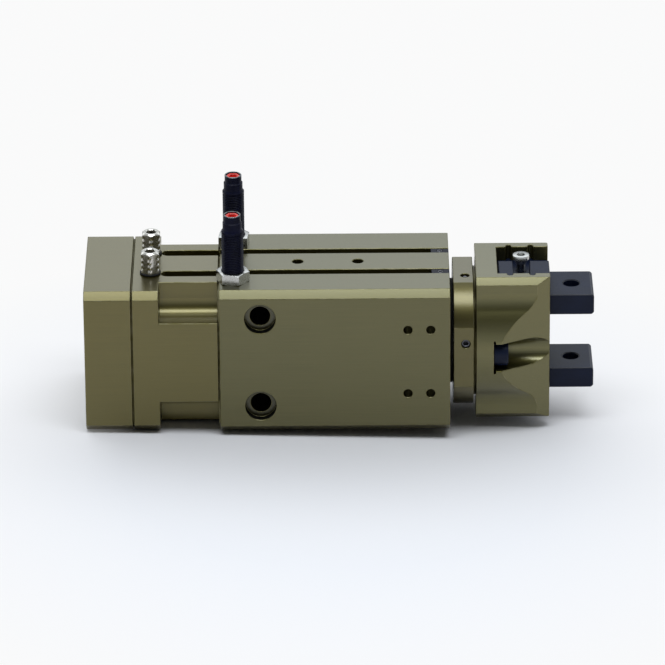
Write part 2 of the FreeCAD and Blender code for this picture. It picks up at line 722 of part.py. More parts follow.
def make_swivel_shaft():
    body = new_body("swivel_shaft")
    rear = S.rear_ring_start - S.journal_out
    seat = X_FLANGE + S.side_gap
    revolve(body, "X", polygon(
        (rear, 0), (X_CYLINDER, 0), (X_CYLINDER, S.piston_r), (X_HUB_END, S.piston_r), (X_HUB_END, S.hub_r),
        (X_BODY_END, S.hub_r), (X_BODY_END, S.feed_r), (X_FEED + S.side_gap, S.feed_r),
        (X_FEED + S.side_gap, S.collar_r), (X_COLLAR, S.collar_r), (X_COLLAR, S.drive_r),
        (X_WALL, S.drive_r), (X_WALL, S.rotor_seat_r), (seat, S.rotor_seat_r), (seat, S.journal_r),
        (rear, S.journal_r)))
    outside = S.feed_r + OVERCUT
    grooves = [rectangle(x - S.feed_groove / 2, x + S.feed_groove / 2, S.feed_r - S.feed_depth, outside)
               for x in X_PORTS]
    seats = [rectangle(x - S.seal_len / 2, x + S.seal_len / 2, S.feed_r - S.seal_depth, outside)
             for x in feed_seal_stations()]
    groove(body, "X", *grooves, *seats)
    pocket(body, "Z", S.piston_r / 2, S.feed_r, *[circle(x, 0, S.feed_hole_r) for x in X_PORTS])
    start, end = rotor_span()
    pins = [circle(x, 0, S.pin_r + S.fit_gap) for x in ((start + end) / 2, X_SHOCK)]
    pocket(body, "Z", -S.arm_hub_r, 2 * S.arm_hub_r, *pins)
    return body


def make_feed_seals():
    rings = [ring("feed_seal_%d" % index, x - S.seal_len / 2 + S.side_gap, x + S.seal_len / 2 - S.side_gap,
                  S.feed_r - S.seal_depth + S.fit_gap, S.feed_r)
             for index, x in enumerate(feed_seal_stations())]
    return group("feed_seals", rings)


def bearing(name, start, length, inner, outer, ball_r, count):
    """The two rings and the balls of a deep-groove ball bearing."""
    pitch = (inner + outer) / 2
    land = ball_r * LAND_SHARE
    track = circle(start + length / 2, pitch, ball_r + S.fit_gap)
    races = []
    for part, low, high in (("outer", pitch + land, outer), ("inner", inner, pitch - land)):
        race = ring("%s_bearing_%s" % (name, part), start, start + length, low, high)
        groove(race, "X", track)
        races.append(race)
    balls = []
    for index in range(count):
        ball = doc.addObject("Part::Sphere", "%s_ball_%d" % (name, index))
        bind(ball, "Radius", ball_r)
        angle = 2 * math.pi * (index + 0.5) / count
        place(ball, start + length / 2, pitch * math.cos(angle), pitch * math.sin(angle))
        balls.append(ball)
    return races + [group("%s_bearing_balls" % name, balls)]


def make_bearings():
    rear = bearing("rear", S.rear_ring_start, S.rear_ring_len, S.journal_r + S.fit_gap, S.rear_ring_r,
                   S.rear_ball_r, REAR_BALLS)
    front = bearing("front", X_FRONT_RING, S.front_ring_len, S.feed_r + S.fit_gap, S.front_ring_r,
                    S.front_ball_r, FRONT_BALLS)
    return rear + front


def make_bearing_clip():
    start = X_FRONT_RING + S.front_ring_len
    inner = S.front_ring_r - S.clip_depth * 2
    body = ring("bearing_clip", start + S.fit_gap, start + S.clip_len, inner, S.front_ring_r + S.clip_depth)
    pocket(body, "X", start - OVERCUT, S.clip_len + 2 * OVERCUT,
           rectangle(-S.arm_half, S.arm_half, -S.front_ring_r - 2 * OVERCUT, 0))
    return body


def make_stop_arm():
    body = new_body("stop_arm")
    reach = leg(S.arm_r, S.arm_half)
    root_y = (S.arm_hub_r + S.drive_r) / 2
    revolve(body, "X", rectangle(X_ARM, X_ARM + S.arm_len, S.drive_r + S.fit_gap, S.arm_hub_r))
    pad(body, "X", X_ARM, S.arm_len, outline(
        line_to(-root_y, -S.arm_half), arc_to(-reach, -S.arm_half, (0, 0), -1),
        line_to(-reach, S.arm_half), line_to(-root_y, S.arm_half)))
    pocket(body, "Z", -S.arm_hub_r - OVERCUT, 2 * (S.arm_hub_r + OVERCUT),
           circle(X_SHOCK, 0, S.pin_r + S.fit_gap))
    return body


def make_arm_pin():
    reach = S.arm_hub_r - S.pin_short
    return place(plain_pin("arm_pin", S.pin_r, -reach, reach), X_SHOCK, 0, 0)


# Main body

def sensor_slot(side, gap):
    """Section of a sensor slot in the body's top, made smaller all round by the gap."""
    y = S.slot_y * side
    radius = S.slot_wide / 2 - gap
    half = S.slot_open / 2 - gap
    middle = BODY_TOP - S.slot_deep + S.slot_wide / 2
    shoulder = middle + leg(radius, half)
    return y, half, middle, shoulder


def make_main_body():
    body = new_body("main_body")
    pad(body, "X", X_BODY, S.seam_wide, seam_outline())
    pad(body, "X", X_BODY + S.seam_wide, S.body_len - S.seam_wide,
        chamfered_square(S.body_side, S.edge_chamfer))
    hub_room = S.arm_hub_r + S.swing_gap
    feed = S.feed_r + S.run_gap
    seat = S.front_ring_r + S.fit_gap
    clip = X_FRONT_RING + S.front_ring_len
    clip_r = S.front_ring_r + S.clip_depth + S.fit_gap
    groove(body, "X", polygon(
        (X_BODY - OVERCUT, 0), (X_BODY_END + OVERCUT, 0), (X_BODY_END + OVERCUT, seat),
        (clip + S.clip_len + S.fit_gap, seat), (clip + S.clip_len + S.fit_gap, clip_r), (clip, clip_r),
        (clip, seat), (X_FRONT_RING, seat), (X_FRONT_RING, feed), (X_FEED, feed),
        (X_FEED, S.collar_r + S.run_gap), (X_CAVITY, S.collar_r + S.run_gap), (X_CAVITY, hub_room),
        (X_BODY - OVERCUT, hub_room)))
    reach = S.arm_r + S.swing_gap
    brow = S.arm_half + S.swing_gap + S.arm_rise
    pocket(body, "X", X_BODY - OVERCUT, X_CAVITY - X_BODY + OVERCUT, outline(
        arc_to(-leg(reach, brow), brow, (0, 0), 1), line_to(leg(reach, brow), brow)))
    shocks = [circle(X_SHOCK, S.shock_y * side, S.shock_r + S.fit_gap) for side in SIDES]
    pocket(body, "Z", 0, BODY_TOP + OVERCUT, *shocks)
    for side in SIDES:
        y, half, middle, shoulder = sensor_slot(side, as_dim(0))
        pocket(body, "X", X_BODY - OVERCUT, S.body_len + 2 * OVERCUT, outline(
            line_to(y - half, BODY_TOP + OVERCUT), arc_to(y - half, shoulder, (y, middle), 1),
            line_to(y + half, shoulder), line_to(y + half, BODY_TOP + OVERCUT)))
    pocket(body, "Z", S.feed_r / 2, BODY_TOP, *[circle(x, 0, S.port_r) for x in X_PORTS])
    x_mount = X_BODY + S.mount_start
    mounts = [circle(x_mount, S.mount_z * side, S.mount_r) for side in SIDES]
    pocket(body, "Y", -BODY_TOP - OVERCUT, S.body_side + 2 * OVERCUT, *mounts)
    sinks = [circle(x_mount, S.mount_z * side, S.mount_sink_r) for side in SIDES]
    threads = [circle(X_BODY + S.side_first + S.side_pitch * step, S.side_z * side, S.side_r)
               for step in (0, 1) for side in SIDES]
    for depth, loops in ((S.mount_sink, sinks), (S.side_deep, threads)):
        pocket(body, "Y", -BODY_TOP - OVERCUT, depth + OVERCUT, *loops)
        pocket(body, "Y", BODY_TOP - depth, depth + OVERCUT, *loops)
    pocket(body, "X", X_BODY - OVERCUT, S.cover_bolt_grip + S.side_gap + OVERCUT,
           *cover_bolt_circles(S.cover_bolt_r + S.fit_gap))
    return body


# Shock absorbers

SHOCKS = (("front", -1, S.front_shock_low), ("rear", 1, S.rear_shock_low))


def make_shock_body(name, side, low):
    body = new_body("%s_shock_body" % name)
    shoulder = S.shock_thread
    tip = shoulder + S.shock_neck
    top = tip + S.shock_tip
    bore = S.rod_r + S.run_gap
    deep = S.rod_inside + S.rod_travel
    revolve(body, "Z", polygon(
        (bore, 0), (S.shock_r, 0), (S.shock_r, shoulder), (S.shock_neck_r, shoulder), (S.shock_neck_r, tip),
        (S.shock_tip_r, tip), (S.shock_tip_r, top), (0, top), (0, deep), (bore, deep)))
    pocket(body, "Z", top - S.adjuster_deep, S.adjuster_deep + OVERCUT, hexagon(S.adjuster_flats))
    return place(body, X_SHOCK, S.shock_y * side, low)


def make_shock_rod(name, side, low):
    body = new_body("%s_shock_rod" % name)
    head = S.rod_head - S.rod_reach
    revolve(body, "Z", polygon(
        (0, -S.rod_reach), (S.rod_head_r, -S.rod_reach), (S.rod_head_r, head), (S.rod_r, head),
        (S.rod_r, S.rod_inside), (0, S.rod_inside)))
    return place(body, X_SHOCK, S.shock_y * side, low)


def make_lock_nuts():
    nuts = []
    for name, side, low in SHOCKS:
        nut = new_body("%s_lock_nut" % name)
        pad(nut, "Z", 0, S.nut_high, hexagon(S.nut_flats))
        pocket(nut, "Z", -OVERCUT, S.nut_high + 2 * OVERCUT, circle(0, 0, S.shock_r + S.fit_gap))
        nuts.append(place(nut, X_SHOCK, S.shock_y * side, BODY_TOP, "Z", NUT_TURNS[name]))
    return group("shock_lock_nuts", nuts)


def make_adjusters():
    top = S.shock_thread + S.shock_neck + S.shock_tip
    adjusters = []
    for name, side, low in SHOCKS:
        adjuster = new_body("%s_adjuster" % name)
        pad(adjuster, "Z", 0, S.adjuster_deep - S.adjuster_sunk, hexagon(S.adjuster_flats - 2 * S.fit_gap))
        pocket(adjuster, "Z", S.adjuster_deep - S.adjuster_sunk - S.adjuster_key_deep, S.adjuster_key_deep + OVERCUT,
               hexagon(S.adjuster_key))
        adjusters.append(place(adjuster, X_SHOCK, S.shock_y * side, low + top - S.adjuster_deep))
    return group("shock_adjusters", adjusters)


# Air fittings and slot clips

def make_air_fittings():
    fittings = []
    for index, side in enumerate(SIDES):
        body = new_body("air_fitting_%d" % index)
        corner = S.fitting_flats / math.sqrt(3)
        low, high = S.fitting_seal, S.fitting_seal + S.fitting_high
        pad(body, "Z", low, S.fitting_high, hexagon(S.fitting_flats))
        pad(body, "Z", -S.fitting_thread, S.fitting_thread + low, circle(0, 0, S.fitting_thread_r))
        bevel = corner - S.fitting_flats / 2 + S.fitting_groove
        bite = corner - S.fitting_groove
        out = corner + S.fit_gap
        over = high + S.fit_gap
        rows = []
        for step in range(FITTING_ROWS):
            z = low + S.fitting_first + S.fitting_pitch * step
            rows.append(polygon((out, z - S.fitting_notch / 2), (bite, z), (out, z + S.fitting_notch / 2)))
        crown = polygon((out, high - bevel), (out, over), (corner - bevel, over))
        groove(body, "Z", *rows, crown)
        pocket(body, "Z", -S.fitting_thread - OVERCUT, S.fitting_thread + high + 2 * OVERCUT,
               circle(0, 0, S.fitting_bore_r))
        pocket(body, "Z", high - S.fitting_mouth, S.fitting_mouth + OVERCUT, circle(0, 0, S.fitting_mouth_r))
        fittings.append(place(body, S.fitting_x, S.fitting_y * side, REAR_TOP, "Z", FITTING_TURN))
    return group("air_fittings", fittings)


def make_fitting_seals():
    seals = []
    for index, side in enumerate(SIDES):
        body = new_body("fitting_seal_%d" % index)
        revolve(body, "Z", rectangle(S.fitting_thread_r + S.fit_gap, S.fitting_seal_r, 0, S.fitting_seal))
        seals.append(place(body, S.fitting_x, S.fitting_y * side, REAR_TOP))
    return group("fitting_seals", seals)


def clip_centre():
    return X_BODY_END - S.clip_long / 2


def make_slot_clips():
    clips = []
    for index, side in enumerate(SIDES):
        body = new_body("slot_clip_%d" % index)
        y, half, middle, shoulder = sensor_slot(side, S.slide_gap)
        top = BODY_TOP - S.clip_sunk
        pad(body, "X", X_BODY_END - S.clip_long, S.clip_long, outline(
            line_to(y - half, top), arc_to(y - half, shoulder, (y, middle), 1),
            line_to(y + half, shoulder), line_to(y + half, top)))
        pocket(body, "Z", top - S.clip_screw_long - S.side_gap, S.clip_screw_long + OVERCUT,
               circle(clip_centre(), y, S.clip_screw_r + S.fit_gap))
        clips.append(body)
    return group("slot_clips", clips)


def make_clip_screws():
    screws = []
    for index, side in enumerate(SIDES):
        screw = plain_pin("clip_screw_%d" % index, S.clip_screw_r, -S.clip_screw_long, as_dim(0))
        screws.append(place(screw, clip_centre(), S.slot_y * side, BODY_TOP - S.clip_sunk))
    return group("clip_screws", screws)


# Swivel flange

def make_swivel_flange():
    body = new_body("swivel_flange")
    far = S.disc_flat
    half = leg(S.disc_r, far)
    pad(body, "X", X_DISC, S.disc_len, outline(
        line_to(far, -half), arc_to(far, half, (0, 0), 1),
        line_to(half, far), arc_to(-half, far, (0, 0), 1),
        line_to(-far, half), arc_to(-far, -half, (0, 0), 1),
        line_to(-half, -far), arc_to(half, -far, (0, 0), 1)))
    pad(body, "X", X_DISC_END, S.spigot_len, circle(0, 0, far - S.spigot_edge))
    pocket(body, "X", X_DISC - OVERCUT, S.disc_len + S.spigot_len + 2 * OVERCUT,
           circle(0, 0, S.hub_r + S.fit_gap))
    x = X_DISC + S.grub_start
    pocket(body, "Y", -far - OVERCUT, far + OVERCUT, circle(x, S.grub_off, S.grub_r + S.fit_gap))
    pocket(body, "Z", 0, far + OVERCUT, circle(x, -S.grub_off, S.grub_r + S.fit_gap))
    pocket(body, "X", X_DISC_END - S.head_bolt_grip - S.side_gap, S.head_bolt_grip + S.spigot_len + OVERCUT,
           *head_bolt_circles(S.head_bolt_r + S.fit_gap))
    pocket(body, "X", X_DISC_END - S.dowel_deep - S.side_gap, S.dowel_deep + S.spigot_len + OVERCUT,
           *dowel_circles(S.dowel_r + S.fit_gap))
    return body


def make_dust_seal():
    """A soft ring on the shaft that closes the gap in front of the bearing."""
    return ring("dust_seal", X_BODY_END + S.side_gap, X_DISC - S.side_gap, S.hub_r + S.fit_gap, S.dust_seal_r)


def make_flange_grub_screws():
    inner = leg(S.hub_r, S.grub_off - S.grub_r) + S.hole_gap
    outer = S.disc_flat - S.grub_sunk
    x = X_DISC + S.grub_start
    front = plain_pin("grub_screw_0", S.grub_r, inner, outer)
    top = plain_pin("grub_screw_1", S.grub_r, inner, outer)
    place(front, x, 0, S.grub_off, "X", 90.0)
    place(top, x, -S.grub_off, 0)
    return group("flange_grub_screws", [front, top])


def head_bolt_circles(radius):
    return [circle(S.head_bolt_y * side, 0, radius) for side in SIDES]


def dowel_circles(radius):
    return [circle(0, S.dowel_z * side, radius) for side in SIDES]


def make_head_screws():
    length = X_BOLT_SEAT - X_DISC_END + S.head_bolt_grip
    screws = []
    for index, side in enumerate(SIDES):
        screw = cap_screw(
            "head_screw_%d" % index, S.head_bolt_r, length, S.head_bolt_head_r, S.head_bolt_head)
        screws.append(place(screw, X_BOLT_SEAT, S.head_bolt_y * side, 0, "Y", 90.0))
    return group("head_screws", screws)


def make_head_dowels():
    dowels = []
    for index, side in enumerate(SIDES):
        dowel = plain_pin("head_dowel_%d" % index, S.dowel_r, -S.dowel_deep, S.dowel_deep + S.spigot_len)
        dowels.append(place(dowel, X_DISC_END, 0, S.dowel_z * side, "Y", 90.0))
    return group("head_dowels", dowels)


# Gripper housing

def head_outline():
    """A chamfered block that swells into a round boss on both sides through concave fillets."""
    wide, high, chamfer, boss, bend = S.head_half_y, S.head_half_z, S.head_chamfer, S.boss_r, S.boss_round
    out = wide + bend
    up = leg(boss + bend, out)
    rim_y = out * boss / (boss + bend)
    rim_z = up * boss / (boss + bend)
    return outline(
        line_to(-wide + chamfer, -high), line_to(wide - chamfer, -high), line_to(wide, -high + chamfer),
        arc_to(wide, -up, (out, -up), -1), arc_to(rim_y, -rim_z, (0, 0), 1),
        arc_to(rim_y, rim_z, (out, up), -1), line_to(wide, up), line_to(wide, high - chamfer),
        line_to(wide - chamfer, high), line_to(-wide + chamfer, high), line_to(-wide, high - chamfer),
        arc_to(-wide, up, (-out, up), -1), arc_to(-rim_y, rim_z, (0, 0), 1),
        arc_to(-rim_y, -rim_z, (-out, -up), -1), line_to(-wide, -up), line_to(-wide, -high + chamfer))


def guide_grooves(gap):
    """Outlines of the round guide ribs, or of their grooves where the gap is more than nothing."""
    inner = S.guide_half - S.rib_out
    outer = S.guide_half + S.rib_out - S.rib_r
    half = S.rib_r + gap
    loops = []
    for step in (0, 1):
        x = X_HEAD + S.rib_first + S.rib_pitch * step
        for side in SIDES:
            loops.append(outline(
                line_to(x - half, inner * side), arc_to(x - half, outer * side, (x, outer * side), -side),
                line_to(x + half, outer * side), line_to(x + half, inner * side)))
    return loops


def make_gripper_housing():
    body = new_body("gripper_housing")
    pad(body, "X", X_HEAD, S.head_len, head_outline())
    start = X_HEAD + S.slope_start
    end = X_HEAD_END + OVERCUT
    fall = S.boss_r - S.slope_rise * (end - start)
    away = S.boss_r + OVERCUT
    for side in SIDES:
        pocket(body, "Z", -S.head_half_z - OVERCUT, 2 * (S.head_half_z + OVERCUT), polygon(
            (start, S.boss_r * side), (end, fall * side), (end, away * side), (start, away * side)))
        y = S.head_bolt_y * side
        pocket(body, "X", X_BOLT_SEAT, X_HEAD_END - X_BOLT_SEAT + OVERCUT, outline(
            line_to(away * side, S.recess_r), arc_to(y, S.recess_r, (y, 0), side),
            line_to(y, -S.recess_r), line_to(away * side, -S.recess_r)))
        pocket(body, "X", X_BOLT_SEAT, S.spot_deep, circle(y, 0, S.spot_r))
    pocket(body, "X", X_HEAD - OVERCUT, S.head_bolt_wall + 2 * OVERCUT,
           *head_bolt_circles(S.head_bolt_r + S.hole_gap))
    pocket(body, "X", X_HEAD - OVERCUT, S.dowel_deep + S.side_gap + OVERCUT,
           *dowel_circles(S.dowel_r + S.fit_gap))
    pocket(body, "X", X_HEAD - OVERCUT, S.guide_wall + 2 * OVERCUT, circle(0, 0, S.rod_thick_r + S.rod_room))
    low, tall = -S.head_half_z - OVERCUT, 2 * (S.head_half_z + OVERCUT)
    pocket(body, "Z", low, tall, rectangle(X_GUIDE, X_HEAD_END + OVERCUT, -S.guide_half, S.guide_half))
    for loop in guide_grooves(S.slide_gap):
        pocket(body, "Z", low, tall, loop)
    return body


# Jaws with their wedge drive

def hook_line(x, drop):
    """Height of the wedge's slanting edge at a station, less a drop."""
    return S.wedge_front + X_WEDGE_END - x - drop


def make_jaw(label):
    """A jaw above the axis: guided base, wedge slot, outer step and finger."""
    body = new_body(label)
    rear = X_GUIDE + S.jaw_room
    half = S.guide_half - S.slide_gap
    gap = S.slide_gap
    tall = S.jaw_high - S.jaw_low
    pad(body, "Z", S.jaw_low, tall, rectangle(rear, X_HEAD_END, -half, half))
    for loop in guide_grooves(as_dim(0)):
        pad(body, "Z", S.jaw_low, tall, loop)
    far = X_HEAD_END + S.finger_len
    low, high, edge = S.finger_low, S.finger_high, S.finger_chamfer
    pad(body, "Y", -S.finger_half, 2 * S.finger_half, polygon(
        (X_HEAD_END - edge, low), (far - edge, low), (far, low + edge),
        (far, high - edge), (far - edge, high), (X_HEAD_END - edge, high)))
    pocket(body, "Z", low - OVERCUT, high - low + 2 * OVERCUT,
           circle(X_HEAD_END + S.finger_hole_x, 0, S.finger_hole_r))
    step = S.jaw_high - S.jaw_step
    pocket(body, "Z", step, S.jaw_step + OVERCUT, rectangle(
        rear - OVERCUT, X_HEAD_END + OVERCUT, S.jaw_step_y, S.guide_half + S.rib_out + OVERCUT))
    middle = X_HEAD + S.jaw_slot_x
    pocket(body, "Z", step, S.jaw_step + OVERCUT, rectangle(
        middle - S.jaw_slot / 2, middle + S.jaw_slot / 2, -half - OVERCUT, S.jaw_step_y + S.slide_gap))
    pocket(body, "Z", step - S.cam_grip - S.side_gap, S.cam_grip + OVERCUT,
           circle(middle, S.cam_y, S.cam_r + S.fit_gap))
    back, front = rear - OVERCUT, X_WEDGE_END + gap
    under = S.jaw_low - OVERCUT
    web, hook = S.wedge_half + gap, S.hook_half + gap
    roof = [(front, hook_line(front, -2 * gap)), (back, hook_line(back, -2 * gap))]
    thick = S.hook_thick + 2 * gap
    pocket(body, "Y", -web, 2 * web, polygon((back, under), (front, under), *roof))
    pocket(body, "Y", -hook, 2 * hook, polygon(
        (back, hook_line(back, thick)), (front, hook_line(front, thick)), *roof))
    room = S.rod_thick_r + S.rod_room
    pocket(body, "X", back, X_WEDGE + S.jaw_room - back, rectangle(
        -room, room, under, S.jaw_low + S.stroke))
    return body


def make_jaws():
    upper = make_jaw("upper_jaw")
    lower = make_jaw("lower_jaw")
    return [upper, place(lower, 0, 0, 0, "X", 180.0)]


def make_cam_screws():
    x = X_HEAD + S.jaw_slot_x
    step = S.jaw_high - S.jaw_step
    screws = []
    for label, side, over, angle in (("upper_cam_screw", 1, S.upper_cam_over, 0.0),
                                     ("lower_cam_screw", -1, S.lower_cam_over, 180.0)):
        seat = S.jaw_high + over - S.cam_head
        screw = cap_screw(label, S.cam_r, seat - step + S.cam_grip, S.cam_head_r, S.cam_head)
        screws.append(place(screw, x, S.cam_y * side, seat * side, "X", angle))
    return screws


def make_wedge_hook():
    body = new_body("wedge_hook")
    back = hook_line(X_WEDGE, 0)
    pad(body, "Y", -S.wedge_half, 2 * S.wedge_half, polygon(
        (X_WEDGE, -back), (X_WEDGE_END, -S.wedge_front), (X_WEDGE_END, S.wedge_front), (X_WEDGE, back)))
    for side in SIDES:
        pad(body, "Y", -S.hook_half, 2 * S.hook_half, polygon(
            (X_WEDGE, hook_line(X_WEDGE, S.hook_thick) * side),
            (X_WEDGE_END, hook_line(X_WEDGE_END, S.hook_thick) * side),
            (X_WEDGE_END, S.wedge_front * side), (X_WEDGE, back * side)))
    pocket(body, "X", X_WEDGE - OVERCUT, S.rod_nose + S.side_gap + OVERCUT,
           circle(0, 0, S.rod_nose_r + S.fit_gap))
    return body


# Gripper piston inside the swivel shaft

def piston_grooves():
    end = X_PISTON + S.piston_len
    magnet = X_PISTON + S.piston_ring_inset
    seal = end - S.piston_ring_inset - S.seal_len
    return (magnet, magnet + S.magnet_len), (seal, seal + S.seal_len)


def make_piston():
    radius = S.piston_r - S.run_gap
    body = ring("gripper_piston", X_PISTON, X_PISTON + S.piston_len, S.rod_tail_r + S.fit_gap, radius)
    groove(body, "X", *[rectangle(start, end, radius - S.groove_depth, radius + OVERCUT)
                        for start, end in piston_grooves()])
    rings = []
    inner = radius - S.groove_depth + S.fit_gap
    for label, (start, end) in zip(("piston_magnet", "piston_seal"), piston_grooves()):
        rings.append(ring(label, start + S.fit_gap, end - S.fit_gap, inner, radius))
    return [body] + rings


def make_piston_rod():
    body = new_body("piston_rod")
    tail = X_PISTON - S.piston_nut_len
    face = X_PISTON + S.piston_len
    nose = X_WEDGE + S.rod_nose
    revolve(body, "X", polygon(
        (tail, 0), (nose, 0), (nose, S.rod_nose_r), (X_WEDGE, S.rod_nose_r), (X_WEDGE, S.rod_thick_r),
        (face, S.rod_thick_r), (face, S.rod_tail_r), (tail, S.rod_tail_r)))
    return body


def make_piston_nut():
    body = new_body("piston_nut")
    pad(body, "X", X_PISTON - S.piston_nut_len, S.piston_nut_len, hexagon(S.piston_nut_flats))
    pocket(body, "X", X_PISTON - S.piston_nut_len - OVERCUT, S.piston_nut_len + 2 * OVERCUT,
           circle(0, 0, S.rod_tail_r + S.fit_gap))
    return body


def make_rod_gland():
    end = X_HEAD - S.gland_end_gap
    bore = S.rod_thick_r + S.run_gap
    gland = ring("rod_gland", X_GLAND, end, bore, S.piston_r - S.fit_gap)
    start = X_GLAND + S.gland_seal_x
    groove(gland, "X", rectangle(start, start + S.seal_len, bore / 2, bore + S.seal_depth))
    end = start + S.seal_len - S.fit_gap
    seal = ring("rod_seal", start + S.fit_gap, end, bore, bore + S.seal_depth - S.fit_gap)
    return [gland, seal]


def build():
    pieces = [
        make_rear_cover(), make_cover_screws(), make_cover_seal(), make_drive_housing(), make_wall_seal(),
        make_rear_shaft_seal(), make_stator_block(), make_stator_pins(), make_stator_seal(), make_vane_rotor(),
        make_vane_seal(), make_rotor_pin(), make_swivel_shaft(), make_feed_seals(), *make_bearings(),
        make_bearing_clip(), make_stop_arm(), make_arm_pin(), make_main_body(), make_lock_nuts(),
        make_adjusters(), make_air_fittings(), make_fitting_seals(), make_slot_clips(), make_clip_screws(),
        make_swivel_flange(), make_dust_seal(), make_flange_grub_screws(), make_head_screws(), make_head_dowels(),
        make_gripper_housing(), *make_jaws(), *make_cam_screws(), make_wedge_hook(), *make_piston(),
        make_piston_rod(), make_piston_nut(), *make_rod_gland()]
    for name, side, low in SHOCKS:
        pieces.append(make_shock_body(name, side, low))
        pieces.append(make_shock_rod(name, side, low))
    doc.recompute()
    return pieces


def check(pieces):
    """Stop on any failed object, empty shape, or cut that removes nothing."""
    for item in doc.Objects:
        if "Invalid" in item.State or "Error" in item.State:
            raise RuntimeError("%s failed: %s" % (item.Label, item.State))
        if item.TypeId in ("PartDesign::Pocket", "PartDesign::Groove"):
            before = item.BaseFeature.Shape.Volume
            if before - item.Shape.Volume < 1e-3:
                raise RuntimeError("%s cuts nothing" % item.Label)
    for piece in pieces:
        if piece.Shape.isNull() or not piece.Shape.isValid() or not piece.Shape.Solids:
            raise RuntimeError("%s has no valid shape" % piece.Label)


def main():
    pieces = build()
    check(pieces)
    os.makedirs("parts", exist_ok=True)
    for piece in pieces:
        piece.Shape.exportStep("parts/%s.step" % piece.Label)
        print("%-22s %d solids %10.2f mm3" % (piece.Label, len(piece.Shape.Solids), piece.Shape.Volume))


main()
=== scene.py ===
"""Looks of the gripper swivel module: finishes, small fasteners, shock absorbers and stage."""
import bmesh
import bpy
import json
import math
from bpy.props import FloatProperty, FloatVectorProperty, PointerProperty
from mathutils import Matrix, Vector


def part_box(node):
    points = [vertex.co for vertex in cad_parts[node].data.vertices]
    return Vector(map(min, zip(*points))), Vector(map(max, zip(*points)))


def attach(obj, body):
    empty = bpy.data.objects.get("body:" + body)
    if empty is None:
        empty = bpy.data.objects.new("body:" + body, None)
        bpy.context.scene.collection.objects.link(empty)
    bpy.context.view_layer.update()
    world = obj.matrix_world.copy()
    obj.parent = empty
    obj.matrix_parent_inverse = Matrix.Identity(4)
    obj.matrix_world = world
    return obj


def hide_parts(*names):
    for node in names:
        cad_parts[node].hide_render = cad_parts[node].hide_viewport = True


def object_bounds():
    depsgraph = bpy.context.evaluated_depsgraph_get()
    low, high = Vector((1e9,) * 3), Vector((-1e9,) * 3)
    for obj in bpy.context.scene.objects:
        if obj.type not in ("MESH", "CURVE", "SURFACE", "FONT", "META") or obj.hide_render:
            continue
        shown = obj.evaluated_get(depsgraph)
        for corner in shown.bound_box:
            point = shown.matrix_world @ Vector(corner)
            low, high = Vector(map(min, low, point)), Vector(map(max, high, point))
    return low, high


bl_info = {
    "name": "Gripper swivel module",
    "version": (1, 0, 0),
    "blender": (4, 5, 0),
    "location": "View3D > Sidebar > Swivel module",
    "description": "Dresses the packed gripper swivel module with its finishes and small fasteners",
    "category": "Object",
}

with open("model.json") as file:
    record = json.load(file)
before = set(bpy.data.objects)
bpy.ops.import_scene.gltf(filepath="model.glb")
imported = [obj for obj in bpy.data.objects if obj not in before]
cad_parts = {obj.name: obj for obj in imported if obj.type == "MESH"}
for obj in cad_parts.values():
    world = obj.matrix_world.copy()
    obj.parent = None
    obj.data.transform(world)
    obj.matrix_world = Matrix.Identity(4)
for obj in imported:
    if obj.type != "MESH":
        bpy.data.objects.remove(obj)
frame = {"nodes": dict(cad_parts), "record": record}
CAD_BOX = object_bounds()
NODES = frame["nodes"]
SLOT_OF = {part["node"]: part["material_slot"] for part in frame["record"]["subparts"]}
BODY_OF = {node: body for body, names in frame["record"]["behaviour"]["bodies"].items() for node in names}
MM = 0.001
TURN = 2 * math.pi
UP = Matrix.Identity(4)
DOWN = Matrix.Rotation(math.pi, 4, "X")
FORWARD = Matrix.Rotation(math.pi / 2, 4, "Y")
BACKWARD = Matrix.Rotation(-math.pi / 2, 4, "Y")
TO_VIEWER = Matrix.Rotation(math.pi / 2, 4, "X")

# Steps and limits of the meshes
SEGMENTS = 72
THREAD_STEPS = 8
THREAD_STEEP = 1.25
CONE_STEPS = 6
SEAL_STEPS = 8
FLOOR_SEGMENTS = 96
CREASE = math.radians(32)
CORNER_GAP = 0.0005 * MM
FLAT_TURN = math.radians(0.4)
SQUARE_TURN = math.radians(60)
HOUSING_TURN = math.radians(25)
SMALL_TURN = math.radians(40)

# Small forms of nuts, fittings and seals
NUT_CONE = math.radians(22)
FITTING_ROWS = 3
FITTING_CONE = 0.8
SEAL_PLAY = 0.02 * MM
# Depth of the band of painted highlight on the tops of the shock absorber tips
TIP_HIGHLIGHT = 0.12 * MM

# Small forms of screws, as shares of the radius or, for heights, of the head
CAP_EASE, CAP_PIT = 0.1, 0.3
CAP_FLUTES = 36
CAM_EASE, CAM_FOOT, CAM_CONE, CAM_PIT = 0.09, 0.66, 0.94, 0.3
CAM_CONE_TOP, CAM_RIM = 0.44, 0.52
SET_EASE, SET_FLATS, SET_PIT = 0.16, 1.08, 1.2

# Tints of the anodised housings beside the plain one, and the darkening for the painted shade on the
# counterbore seats
DEEPER, PALER, SEAT_SHADE = 0.82, 1.1, 0.4

# Colour sockets of a mix node, and the detail of the noise
MIX_A, MIX_B, MIX_RESULT = 6, 7, 2
NOISE_DETAIL = 3.0

# Directions of the light tent's values in degrees, and the camera's limits
TENT_FIRST, TENT_STEP, TENT_END = 15, 25, 180
SENSOR = 36.0
CLIP_START, CLIP_END = 0.05, 20.0


def colour(name, value, note):
    return FloatVectorProperty(
        name=name, description=note, default=value, subtype="COLOR", size=3, min=0.0, max=1.0)


def length(name, millimetres, note):
    return FloatProperty(
        name=name, description=note, default=millimetres * MM, min=0.0, precision=6, unit="LENGTH")


def angle(name, degrees, note):
    return FloatProperty(name=name, description=note, default=math.radians(degrees), subtype="ANGLE")


def share(name, value, note):
    return FloatProperty(name=name, description=note, default=value, min=0.0, max=1.0, subtype="FACTOR")


